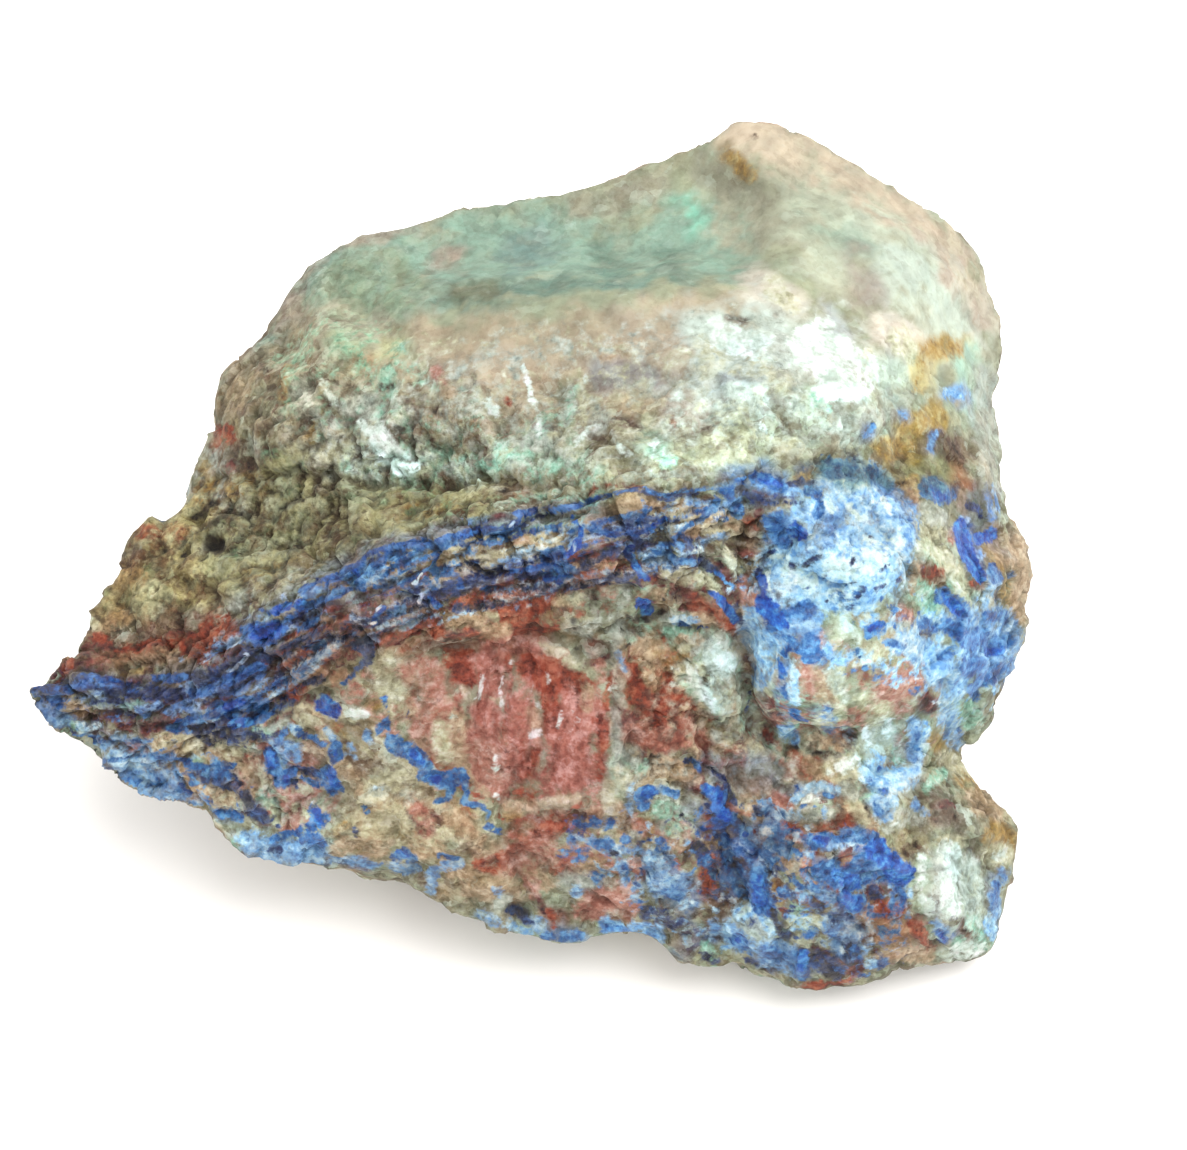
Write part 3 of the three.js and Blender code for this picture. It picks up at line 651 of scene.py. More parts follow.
    "cream": drawn("""
1.0@.7: 20.2,56.7 22.6,56.8
.5@.8: 25,50.6 / 18.6,74.8 19.8,74.6
.9@.5: 27.6,46.8 30,45.2 / 38,66.6 39,69.6 / 44,73 44.6,75.6 / 32.6,45.7 34.6,45.2 / 70.2,46 73.8,45.4
1.2@.4: 37.4,51.6 39.8,53
.8@.5: 25,56.2 28,55.6 / 75.4,77 76.8,76.8 / 94.6,75.8 96,76.8 / 70.4,34.4 72,36
.8@.3: 46,49.6 49,49
.4@.7: 8.8,62.2 10,62.8 / 27.3,80.9 27.7,82.2
.4@.6: 53.2,53.8 55,53.4 / 44.6,56.2 45.6,56.6 / 48.8,61.2 49.6,61.8 / 52.6,55.9 53.8,55.4 / 72,73.9 73,74.2
.4@.6: 38.4,74.2 37.4,73 / 54.4,64.6 56,65.2
.6@.6: 71,53 73,53.4 / 84.2,49.3 85.8,49.1
.5@.5: 70,57.4 71.2,58.6 / 36.6,74.8 38.4,75.6 / 33.8,71.6 35.2,71.7 / 36.4,46.4 38,46 / 77.8,39.2 79,38.4
.7@.5: 66.6,57 68.6,57.6 / 61.8,77 63,78.4 / 64.8,84.4 66,84.4 / 71.4,65.6 73.4,65.4
.5@.4: 73,55.4 74,57 / 56,60 58,59.6 / 68.4,65 69,64.4 / 75.2,74.6 76.4,75.6 / 86.2,36 87,35.2
.4@.5: 65,51.4 65.6,51.6 / 72.2,69.4 72.4,71.6 / 74.2,80.6 75,80.8 / 78.4,44.6 80,43.8
.35@.7: 44,58.2 44.4,58.3
1.0@.5: 92,52.4 94,53 / 86.6,65.4 88.6,65 / 77,28.6 79,30.4 / 89.6,33.6 91,35
.6@.8: 92,54.7 94.2,55.4 95.4,57 96.3,59
1.1@.7: 84,61.4 84.6,63.4
.7@.4: 83.6,66.6 83.4,69 / 61,78.6 61.2,81
.8@.4: 86.6,69.6 88.4,71 / 86.6,61 89,60.6 / 38.8,66.2 39.8,69.4 / 82,72 84,71.4
.5@.6: 93.4,63.8 94,63.6 / 57.4,66.6 56.8,66 / 47.8,39 48.6,40.6 49.4,41.4
.6@.4: 97,60.6 97.4,62.4 / 61,83 61.6,85 / 93.8,84.2 95.8,84.2 / 79.4,93.8 80.6,94.4
.5@.7: 30.4,71.8 31.6,72.3 32.8,73.4
1.0@.6: 37.4,78.6 39.6,78 / 79.8,92.4 81.8,92
1.3@.6: 37.4,82.4 39.6,82
.6@.5: 38.6,70.4 39,71.6 / 85.4,77.6 86.6,77.2 / 85.2,80.2 86.6,82
.3@.6: 23.5,75.2 / 46.3,68.9 46.9,70 / 50.2,37 50.8,38.4 / 57.7,36.8 58.3,38.4 58.2,40.6 58.5,42
.45@.8: 54.2,80.5 55.6,80.2 57.6,79.9
.25@.5: 49.4,69.8 50.2,70.2
.9@.8: 83.8,76.8 85.6,76
.9@.9: 99,85.7 100.4,85.3
1.2@.8: 83.6,77.2 85.2,76 86.6,74.6
.8@.6: 87.6,72.6 88.4,74.4
"""),
    "ash": drawn("""
1.8@.4: 15.2,60
1.1@.4: 23.6,59.7 / 15,59.9
.35@.5: 62.3,57.2 62.4,59.8 61.8,60.8
.7@.5: 61.6,62 62.2,63.4 / 87.4,76 90,75.4
.4@.6: 9.6,70.7 10.6,70.6
.6@.4: 56.6,62.6 58.6,63.2 59.6,62.2 / 98.4,58.8 98.8,60.4 / 89.6,62.8 91,62.4 / 10,75 11.4,76
.6@.4: 82.8,42.8 84.4,42.4
.5@.4: 4.8,70.6 5.4,71 / 27.4,72.6 28.6,72 / 84.4,51.4 85,53 / 59,88.4 60.4,87.8 / 50.4,90 49.2,91.2
.6@.5: 67,61.8 68.4,61.4 / 76.8,66.4 77,68.4 / 61.6,74.6 62.2,76 / 24.2,83.4 25.4,84.2 / 75.6,93.6 76.4,94.4
.6@.5: 84.2,78.8 85.6,79.6 / 52.4,44.4 54,43.4
.7@.4: 67,52.4 66.8,53.6 / 83,67.6 84.6,69.6 / 90,81.2 92,82
.8@.4: 92.6,51 94,51.6 / 71.4,69 72.4,70.6 / 67.6,80 69.2,81.6
.35@.6: 61.7,65.2 62.1,66.4 62.6,67.6
.5@.5: 61.8,68.6 62.2,70 / 37.2,79.2 38.2,79 / 12,74 13.4,73.8 / 79.9,86 79.6,87 / 58,44 60,42.8
.45@.5: 61.4,71 61.4,73.6
.9@.5: 71.6,67 73,66.2 / 96.4,90.2 98,91.6 / 35,40.6 36.8,40.2 / 73,39 75.4,40.4
.4@.4: 74.8,75.4 75.6,76 / 40.4,79.4 41.6,80
.8@.5: 56.4,88.6 58.2,88.2 / 80.6,81.2 83,81.2
1.0@.8: 87.2,74.4 88.8,73.6
.6@.7: 89,82.8 89.8,82.4
1.2@.6: 94,85.4 96.2,86.2
.9@.6: 97,86.8 97.4,90
1.1@.6: 30,39 31,40.8
1.2@.7: 70.8,64.4 72,67
.3@.7: 61.2,62.8 61.6,66 61.8,70
"""),
    "steel_blue": drawn("""
1.2@.5: 3.6,70 4.8,71.6 6,72.2 / 14.4,76.2 16.6,76.6
.5@.5: 30.6,59.5 32.4,59.1 / 75.6,48.4 77,48.8 / 89,64.2 90.2,64.8 / 69.6,76.4 69.9,76.9 / 86.4,50.4 87.6,52
.8@.5: 36,57.4 37.6,57.6 / 78.8,49.2 80,49 / 78.6,73.2 79.4,74 / 73.6,84.4 75.4,84.6 / 64.6,92.6 66,93.6
.8@.5: 88.2,80.4 88.6,81.6
.6@.5: 38.6,58.4 40,58.2 / 17,70.8 19.4,70.4 19.6,71.2 / 63.4,51.8 62.4,52.4 / 98.8,49.2 99.4,51.6
.6@.5: 75.8,80.9 76.8,80.8 / 77.2,82.2 78,81.6 / 17,79.4 19.6,79.8 / 81.4,89.2 83,89.6 / 75.4,87 76.6,86.4
.6@.5: 71.4,92.4 71,93.8
.5@.4: 47,52.2 48.4,52 / 24.6,67.2 26,67.6 / 69,50.2 71,50.4 / 83.4,66.4 84.8,65.8
.7@.4: 21,68.8 24,68.6 / 84.6,83.4 86,83
.9@.6: 65.4,55.6 67,56.2 / 65,86.6 66.8,86.4 / 12,74.4 14.4,75
.5@.6: 70.4,54.2 72.4,53.6 / 99.3,57.2 99.6,58.2 / 39.2,86.8 41.8,86.9
.6@.4: 35.6,64.2 37,63.6 / 82.6,71 83,72.6 / 48,91.4 49.6,92.2
.8@.4: 8.6,69.9 11.6,69.8 / 95,73.4 95.6,74.2 / 88,54 89.6,54
.6@.3: 72.4,50.8 73.6,50
1.3@.5: 82.6,47.8 85.6,47.4 87.4,48 / 81,62.2 79.4,63.4
1.6@.6: 88,50.2 88.8,51.6 / 97,62.6 99.4,62 100.6,63.6
1.3@.6: 78,52.4 78.4,53.6
1.2@.6: 81.6,51 83.4,51.6 / 25.4,84.4 28,85.4
1.0@.4: 80.6,54.6 84.4,53.4
.9@.5: 74.8,62.6 76,63.6 77.8,64.2 / 65.6,88.4 68,88.4
.9@.4: 75.8,66 76,68
1.8@.6: 97.6,65.6 99.4,66.4
1.0@.5: 94.6,66 96,68.4
.4@.4: 101,57.6
.4@.5: 91.7,52 91.8,52.6 / 63,79.4 62.9,81 / 49.8,88.8 49.9,89.4 / 57.6,89.4 58.2,89.2 / 62.3,86 62.5,88.4
.4@.5: 91.2,80.4 92.8,81.4 / 90,41.4 90.7,41.7
.35@.5: 61.9,65.6 62.5,67 / 44.4,86.6 46,86.4 / 36.4,73.4 37.2,74
.4@.6: 66.2,79 67.4,79.2
.35@.6: 61.9,85.4 63.6,85.1 65.4,85.4 / 33.2,86.1 36.2,86.1 38,86.5 / 56.9,84.1 57.9,83.9
.3@.6: 71,79.5 71.6,79.8
2.0@.6: 9.6,75.8 12.8,77.6 16.6,78.6
.8@.6: 28.2,74.8 29.4,75.2 29.2,76 / 60.6,92.4 63.6,92.8
1.2@.7: 30,85.4 31.8,85
.3@.8: 34.6,75.8 35.8,75.7
.5@.8: 43.2,87.2 43.1,88.8
.3@.5: 32.6,73 33.2,74.2 / 92.9,44.6 93.6,43.4
.3@.4: 34.6,74.6 35.4,75 / 86.6,43.6 87,43
.5@.7: 59.3,83.8 60.8,84.4 61.4,85 / 82.4,84.8 84,84.7
.6@.6: 53.2,92 53.9,92.9
.7@.8: 91.6,72.4 91.6,75.8 / 100.4,87.2 99.5,89.4 99.6,91
.6@.9: 93.5,92.1 94,93
1.0@.7: 73.2,93.4 74.6,94.2
1.4@.6: 76.6,95.4 79.4,96.2
1.6@.4: 83.8,92.4 85,94.6
.5@.3: 95,39.2 96.3,39.2
1.4@.5: 84,47.6 88,48
1@.4: 90.6,51 91,54
"""),
    "pale_blue": drawn("""
.45@.8: 13.8,71 15,70.6 15.8,70.4
.35@.8: 14.4,71.6 14.9,71.2
.5@.5: 8,72.8 9.6,72.6 / 96,65 96.4,63.9 / 98.4,60 99,59 / 8.4,73.8 10.4,74.6 / 75.8,85.6 77,85
.5@.5: 72.6,93 72.8,94.6
.4@.5: 35.6,61.9 36.8,62 / 67.6,61.9 69.6,61.7 / 97.8,56 98.2,55.4 / 72.4,84.8 73.6,85 / 64.8,86 66,85.9
.4@.5: 23.8,83.9 24.8,84.1 / 60.8,92 62,92.6 / 82.6,81.6 82.4,80.8
.3@.6: 38.6,56.4 39.4,56.2 / 76.4,83.4 77.4,82.6 / 29.2,72.6 29.8,73
.25@.7: 69.2,54.8 70.2,54.6
.3@.7: 57.3,54.3 56.8,55 / 19.2,75.7 20,75.8 / 33,74.6 33.2,75.4
.35@.5: 64.2,55.4 65.2,55
.25@.6: 23,67.3 24.2,66.3 / 31.2,80.6 31.4,81.6
3.0@.7: 79.4,57.4 83.6,57.4 88,56.2
1.8@.7: 82,59.4 86.6,58.8
1.6@.6: 86,54 89.4,53.6
1.0@.6: 79,55 80.4,54.8
.8@.5: 81.4,50.4 83.6,50.6
.6@.5: 79.6,51.2 81.2,51.6 / 92.2,61.8 93.6,62 / 11.4,76 13.6,76.4
.35@.7: 80.8,52.6 81,54.4 / 27.6,74.8 27.9,75.6
.5@.6: 86.6,50.2 87.2,49.8 / 74.2,84.9 75,85.3
.4@.6: 75.2,61.8 75.8,60.8 / 96.2,51.9 96.8,52.2 / 77.6,81.8 78.2,81.2
.8@.6: 74.6,62.8 75.4,64.2
.9@.6: 75.8,65.4 76.8,66.4 / 84,49 86.6,48.6
.4@.7: 79.2,66.6 79.4,69 79.8,70.6
1.1@.7: 90.6,64 91.6,65.2 93,65.6
1.4@.6: 93.6,67 95,68.6
.9@.7: 94.6,70.2 94.8,72
.7@.5: 82.6,65 83.6,66
.5@.4: 84,53.4 85.4,52.8
.3@.4: 63.4,78.2 63.2,79.2
.3@.5: 43.2,76.6 43.4,77 / 37.4,78.9 38,78.9 / 57.8,89
.7@.7: 50.6,92.4 52.2,93.3
.45@.95: 92.8,72.2 92.6,74.6 92,76.4 91,77.2 89.6,77.3
1.2@.9: 86.9,77.6 88.8,78.2 90.2,77.8
.8@.8: 87.8,80.2 89,80.4
.5@.9: 79.7,79.6 80.4,78.7 82.4,78.6 83.4,79
.7@.9: 73.9,91.5 75.2,91
.5@.8: 76.4,91.8 76.9,93.2 / 86.6,96.6 87.4,96.3
.5@.7: 99,92.4 99.4,93.6
.4@.4: 88.4,76 87.2,75.4
.6@.4: 66,87.6 67,88.2
1.2@.7: 85.4,50.6 86,53 84.6,55
1@.6: 88.4,51 89.4,53.6
1@.5: 80.4,59.6 83,60.4
"""),
    # chalk: the white crust, and partly painted highlight: its broad patch at 72 to 86 across and 33 to 39
    # down is where the upper face catches the light, and its thinnest specks on the red panel are painted
    # glints
    "chalk": drawn("""
.35@.5: 15.2,59.4
.25@.8: 69.6,54.9 70,55.1 / 49.7,75.6
.2@.7: 62.1,55.8 62.4,55.5 / 49.9,79.6
.2@.5: 55.2,53.9 / 67.5,66.6 / 43.3,76.8
.3@.5: 8.8,62 / 85.4,66.6 87,66.2 / 95.4,58 96,58.8 / 89.4,82.6 / 83,77.2 / 76.8,92.2 77,93
.25@.5: 37.4,61.2 / 61.2,69
.2@.6: 71.6,52 72.2,52.2 / 61.8,69.1 / 62,71.6
1.4@.6: 83.6,56.6 87,56.4
.9@.5: 79,57.4 81,58.2
.8@.5: 88,55 89.6,54.4
.35@.7: 76.4,57.4 76.6,59
.35@.6: 77,55.8 78.4,55.6 / 48.8,40.2 49.4,41.2
.3@.6: 81,53.6 / 87,50 / 74.2,91.2 75,91 / 76.2,42.4 76.6,43.2
.4@.5: 84.4,62 84.8,62.8 / 72,65.4 73,65.8 / 58.6,38 / 86.8,54 88,55.2
.4@.4: 82.6,50.4 83.2,51 / 92.4,89.6 93,91.4
.5@.4: 83,59.4 85.4,59.6 / 92.3,85.8 91.9,88.4
.4@.7: 68.6,67.2 69.2,68.6 70,69.6 / 90,77.8 88.8,77.6 / 76.6,39 76.8,40.4 / 65.2,44.4 / 32.6,38.6 34,40.4
.4@.7: 84.8,50.8 85.6,51.8
.25@.6: 67.2,68.6 / 62,44.8 63,45.4
.22@.5: 72.4,74.1
.4@.8: 35.2,71.2 36.2,71.5 / 36.4,42.4 37.2,43.6
.15@.8: 33.2,75.2 33,74.8 / 31.3,80.2 / 50.4,68 50.2,70.4 / 54.6,67.4 54.5,68.6
.16@.9: 56,71 55.7,71.8 55.4,72.7
.25@.9: 53.2,73.4 53.7,73.3 / 53.8,41.4 53.9,43.2
.28@.9: 49.6,76.6 49.6,77.1
.15@.7: 53.8,70.5
.18@.6: 57.8,72
.15@.6: 45.2,71.8 / 52,79.2
.14@.6: 51,66.2 / 47.6,70
.9@.9: 94.9,86.8 95,89 95,91
.6@.6: 94.6,84.8 95.6,85 / 84.4,76.3 85.8,75.7 / 71.6,64.8 72.6,66.6
.22@.9: 80.4,80 81,79.7 82.2,79.9 / 52.3,36.8 52.8,38.6 53.4,40.6
.5@.5: 87,74.6 88,75
.5@.7: 99.6,85.6 100.2,85.4 / 30,39 30.8,40.6
.7@.5: 95.6,95.4 97.8,95
.3@.7: 92.9,73 92.6,75.2 / 86.4,74.8 86.8,73 / 59.6,42.6 58.4,43.4 57.8,44.6 / 88,50 88.8,51.4
.5@.8: 84,76.6 85.8,76.2
.35@.8: 88.6,73.4 89,71.8
1.1@.8: 38,43.6 39,45.6 41.2,46.8
.45@.9: 38.2,44.8 38.8,46.2 / 40.6,46.2 41.5,47.2
2.2@.4: 81.6,34.4 85.4,37.4
1.6@.35: 83,38.2 85.8,39
1.2@.3: 72.4,33.6 75.4,34.6
.6@.9: 69,67.6 70.2,69.2 71.2,70.6
.13@.8: 57.2,71 57,73.6 / 52.8,68.6 52.6,70
.12@.7: 48.4,67.6 48.2,70
"""),
    # navy: dark blue azurite, and partly painted shade: the stroke from 20.8,68 to 26.8,63.8 lies in a shaded
    # fold
    "navy": drawn("""
.7@.8: 7.6,68.6 9.6,68.4 12,69 15,69.2 18,69.2 / 71.8,80.2 72.2,81.4 72,82.4
.4@.7: 19,67.6 20.6,67.7 22,67.2 / 73.6,60.6 73.9,62
.5@.6: 4.6,69 5.8,69.4 / 28.6,64.8 31,63.8 33.4,63.8 35.4,63.4 / 41,58.9 42,59 / 63.2,53.4 64,54.4
.5@.6: 87.2,88.8 87.4,89.6
.35@.6: 12.5,70.3 11.2,69.8 / 64.6,49.4 67,49.6 69.4,49.4
.45@.8: 20.8,68 22,67 23.4,66.2 24.6,65.4 25.6,64.6 26.8,63.8
.8@.5: 20,73 23,73.2 26,73.4
.5@.5: 16.6,72.8 19,72.4 / 97,50.8 98,51.2 / 71.8,83.4 72.6,83.8 / 83.4,91.4 85,91.4 / 73.4,89 74.6,89.2
.5@.5: 70.4,95.4 71.6,95.8
.7@.5: 24.4,66.2 27,65.6 29,65.2 / 64.8,91.4 67.8,92.2
.35@.7: 28.4,62.6 30,61.5 31.4,60.5 32.8,60 / 35.4,62.7 38,62.4 40,61.5 / 49.8,57.2 51.6,57.4 53.6,57.4
.35@.7: 92.2,63.3 92.8,63.3
.7@.7: 40.6,60.6 42.4,60 44.4,59.4 46,59.4
.5@.7: 44.6,58.7 47,58.4 49,58 / 74.6,49.4 75.8,49.9
.6@.8: 35.2,57.8 35.6,57
.35@.5: 37,56.8 38,55.8 / 27,84.8 28,85.2
.4@.6: 41.6,54.4 42.6,54.3 / 75.7,80.7 76,81.5 / 26.6,73.8 27.8,73.6 / 74.6,95.8 75.6,96.2
.3@.7: 47,53.3 49,52.5 / 69,55.8 70.4,56.2 71.6,57 / 70.4,51.6 71.4,50.4 / 35.2,83 35.6,83.3
.3@.7: 28.4,78 29.4,78
.22@.8: 50,52.7 52.4,52.2 55,51.5 57,50.9 59,50.3 61,49.7 / 88,57 88.7,56.5
.3@.6: 57.4,57.1 59,56.2 60.6,55.5 62,55.1 / 36.2,65.8 35.8,66.8 34.6,68 / 22.8,72.4 25.4,72.2
.3@.6: 31,73.9 32,74.6
.6@.5: 34,64.2 36.6,64.6 36.6,65.6
.3@.5: 27.6,70.8 29.6,70.4 / 78.6,48.2 80.4,47.9 / 78.9,54.2 78.7,53.6 / 98.6,61.6 99.2,61.4
.3@.5: 81.4,48.8 81.8,49.2 / 81,90.3 82,90.7 / 72.2,88 72.4,89
.4@.5: 30.4,68.2 32,67.8 / 96.4,66.8 97.2,66.6 / 10.4,76.2 11,77.2 / 85.6,86.8 86.4,87.4
.22@.6: 76.4,50.3 78.6,50.5 80.2,50.2 / 87.4,59 88.2,58.6 / 82.6,60.4 / 46.6,80.4 47.8,81
.5@.9: 79.5,52.6 79.9,53.6
.35@.9: 78.9,56.5 79.3,56.7 / 80.4,56.6 81.8,55.9
.25@.8: 84.6,58.5 85.4,58.2 / 84.6,60.8 85.4,60.5
.25@.6: 85.8,59.4 86.2,58.8
.35@.8: 75.9,57.2 75.8,58.8 76.2,59.6
.25@.7: 76.6,55.8 77.2,55.2 / 74.8,69.2 74.7,71.2
.25@.5: 82.4,57.8 / 94.8,91.8 95.4,91.6
.2@.6: 80.2,58.8 80.8,58.6 / 85,56.2 85.4,55.8 / 87,53.6 / 90,58.2 / 74.9,71 74.9,71.6 / 29.6,78.8
.4@.9: 68.5,75.9 69.2,76 / 76.6,86.9 78.2,87
.3@.8: 71.5,77.1 72.4,78.2 73.2,79.6 73.7,80.2
.6@.6: 73,82.1 74.2,82.5 / 69.7,84.6 70.2,85.6
.8@.4: 73,85.8 74.6,87.4
.7@.6: 19.8,77.2 21.6,77.8 23.6,78.6
.6@.9: 24.4,79.4 25.2,80.8 26.4,81.9
.4@.8: 29,77.1 30.6,77.2 31.8,77.4
.6@.3: 20,73.8 25,74
.2@.9: 27.7,81.6 27.9,81.4 / 27.8,82.5 28.2,82.6
.5@.95: 50.8,90.8 51.8,91.2 52.9,92.4
.22@.5: 61,84.8 61.8,85.6
.45@.95: 77,90.2 77.6,92 77.9,93.5
1.1@.7: 81.8,96 83.8,96.8
.6@.4: 84.6,94.4 85.4,95
"""),
    "azurite": drawn("""
.9@.5: 73,87.8 75,88.4
.35@.8: 8,67.9 9.4,67.7 11,67.8 / 73,48.8 71.8,49.7 71.2,50.8 70.2,51.9
.4@.8: 15.4,67.8 17,67.7 18.4,67.6 / 22.8,71.3 24,72.1 26,71.8 27.2,71 / 78.5,69.1 78.9,69.9
.6@.7: 5.6,69.8 6.2,70.4 / 26,64.4 27.6,63.6 / 29.8,60.8 31.2,60.6 / 81.6,51.4 82,50.6 / 74.2,83.7 75,83.4
.5@.6: 19.4,69.2 21,68.9 / 22.6,68.4 24.4,67.4 26.2,66.8 / 36.2,58 35.2,58.4 / 31.4,62 30,62.8
.5@.6: 73,49.8 74,51 / 99.2,56.9 99.6,57.9 / 74.6,84.4 75.4,85.2 / 81.6,86.8 82.4,87.4
.8@.8: 24.8,63.6 26.6,63 28,62.6 / 76.2,60.2 77.2,61.4 77.4,62.6
.3@.8: 24.2,62.9 26,62.4 28.6,62.2 29.6,61.6
.3@.8: 30.2,59.2 31,58.4 32.2,57.9 33.6,57.6 34.8,57 36,56.3 37.2,55.4 38.6,54.9 40,54.6
.3@.8: 51.6,51.6 53.4,51.3 55,51.2 56.6,50.8 58.4,50.4
.3@.8: 58.2,52.8 60,52.9 61.2,53.4 62.8,53.2 64.6,52.8 65.6,53 / 18.8,76.4 21,76.7 23.2,76.9
.3@.8: 82.4,79.2 83.2,79.5
.7@.7: 22,70.6 24.4,70.2 26.2,70.4 / 92.2,62.2 93.4,62.4
.4@.5: 17.6,72.2 20,71.9 21.6,71.4 / 17,73 18.6,73.2 / 66.6,78.9 67.6,79.3 / 76.2,81.4 77,81.2
.4@.5: 60.8,92.6 62.6,93 / 79.6,78.9 / 83,93 83.8,94
.35@.9: 30.6,61.2 32,60 33.6,59.5 35,59.2 36.4,59 / 86.4,67 / 78.9,87.8 80.2,88.8
.45@.8: 36.4,58 37.4,57 38.6,55.9 40,55.4
.25@.6: 35.4,58.6 37,58.7 38.6,58.6 / 43.3,55.6 43.5,57 43.9,58.4 / 38.4,57.6 39.2,56.9
.25@.6: 70,52 68.6,52.7 67.4,53.8 / 26.4,60.9 27.4,61.2 / 57.2,84
.4@.9: 39.8,54.7 41.4,54.3 43.4,54.2 45.4,53.9 47.2,53.4 49,52.9 / 72.4,48.4 74,48.1 76,47.4
.4@.9: 15,75.6 17,75.7 18.8,76.1 / 29.9,72.9 30.3,73.6 31.4,73.7 32.3,74.6 / 46.3,78 46.4,79.2 46.1,80
.4@.9: 44.9,78.9 44.6,79.8 43.7,80 / 49,82.6 50,82.9 / 88.1,96.3 88.6,96.2 / 87.9,79 88.6,79.2
.25@.7: 43.4,55 45,54.6 47,54.5 48.4,54.2 / 51.2,57.1 53,56.9 54.4,56.5 / 38.3,69.9 38.7,71.4 38.8,73
.3@.6: 44.4,57.6 45.8,57.8 46,58.6 / 65,49.2 67,49.4 69,49.2 71,48.9 72.4,48.5 / 66,54.2 67.6,54.2 68.4,54.8
.3@.6: 42.6,58.2 43.4,58.8 / 34.2,68.3 35.2,67.6 / 32.4,81.3 32.8,81.4 / 60.2,84.1 61,84.5
.3@.6: 62.6,86.6 62.7,88 / 88.8,80.6
.5@.9: 48.6,53.2 50.4,53 52,52.7
.2@.8: 48.6,54.4 50.4,53.9 52,53.5 54,53.1 56,52.6
.22@.8: 58.6,50.2 60.4,49.7 62.4,49.3 64.6,49.1 / 68.2,62.2 69.4,62.6 70.8,62.7 / 40.8,71.2 40.9,71.7
.2@.6: 64.1,50.2 64.2,51.4 63.6,52.3
.6@.8: 54.4,55.6 55.8,55.2 / 70.4,79 71.4,79.4 72.4,79.8 / 31.3,81 31.8,82.2 31,82.9
.9@.8: 55,57.2 56.4,57 / 94.2,59.6 95.4,60 96.2,60.8 / 84.4,90 85.8,90.2
.4@.6: 65.6,56.6 67.8,55.8 69.4,56.2 / 33,59.6 33.8,59 / 88.8,64.1 89.8,64.4 / 72.2,84.4 72.9,84.2
.3@.5: 66.6,55 65.4,54.8 / 87,43.2 87.2,42.6 / 82.6,45.8 83.8,46.2
.2@.5: 48,59 49.8,58.8 52,58.9
.5@.5: 39,61.6 40.4,61 / 30.4,64.6 32,64.4 / 77,84.2 78.2,83.6 / 89.6,88.8 90.2,89.6
.2@.7: 71.4,56.8 72.4,58 73.4,58.6
.7@.8: 75.4,47.6 77,47.9 78,48.7
.6@.6: 81,48.9 81.8,49.3 / 78.8,64.4 79.8,64.6 / 72,82 73,81.6 / 76.2,85.4 77.6,86
.9@.4: 83,47 85,46.8
.8@.4: 86.6,47.4 88.4,48.4
.9@.7: 77.4,52.2 78,53.8 / 79,61.4 80.6,60.8 / 94.8,62.4 96,63
1.1@.8: 92.8,48.8 94.2,49.4
1.1@.7: 80.8,64.2 81.2,65.4
.7@.9: 86.9,63 88.2,62.5 / 27.1,75.4 27.4,76.8 / 28,77.8 28.9,77.4 / 33.3,74.6 33.5,75.8
.45@.9: 77.9,66.4 78.1,67.8 / 93.7,93.2 94.4,94.2
.4@.7: 79.3,71.4 80.6,71.9 / 69.3,76.2 69.8,76.9 / 22.8,76.6 23.5,76.4 / 30.4,78 31.6,78.4
.4@.7: 27.2,83.8 28.8,83.6 30.2,83.1 / 81.2,93.4 81.4,93
.9@.6: 96.6,64.2 98,63.4 / 99.2,64.8 100.8,64
.7@.6: 96.6,67 97.8,66.4 / 30.8,84.2 32,84.4 / 84.6,83.6 86.4,83.4 87.4,83.6
.8@.6: 98.6,68 100,67
.6@.5: 94.4,65.6 95,65.2 / 98.6,61.4 100.4,61.8 / 97,69 98,69.6 / 66.8,88.8 68.2,89.4 / 76.4,95 78,95.6
.6@.5: 77.2,84.4 78.4,84.6
.8@.9: 64.3,80 64.9,79.2 / 39.3,74.2 40.2,75 / 42.4,77.6 44.6,77.9 46,77.4 / 81.2,84.4 82.4,83.8
.5@.4: 20.6,77.2 22.8,77.6 / 99.6,88.6 99.4,90.4
.5@.7: 21.8,81.1 23.2,81.2 24.2,81.8
.9@.9: 32.8,77.8 33.4,78.8 / 41,75.2 42,75.9 42.8,77 43.2,77.6
.7@.4: 12.6,77.6 13.6,78.2
.6@.4: 15,77.4 16.2,78.4
.3@.9: 36.4,80.8 36.7,81.2 / 46.6,80.3 48.2,80.9 48.8,81.8 / 43.9,85.8 45.6,85.8
.6@.9: 39.5,85.7 40.6,85.4 41.2,85.9 / 73.5,93.9 74.3,94.1
.3@.4: 37.6,73 38.4,72.4
.4@.4: 28.6,73 28,74.4
.35@.5: 18,78.6 18.8,79.2
.45@.7: 54.4,93.6 56,93.6 58,93.3
1.2@.95: 87.6,85 88.8,86.6 90,87.7 / 75.6,87.8 76,89.4 76.5,90.6
1.2@.9: 83.4,87.3 85,88 86.4,86.6
.8@.7: 79.6,96.2 80.4,97.4
.35@.7: 86.8,78.2 / 87.5,80.6 88.2,81.4
.3@.7: 87.6,77.3 88,76.8
.25@.8: 80,80.5 81.4,80.4
.35@.6: 91.7,73 91.6,75
"""),
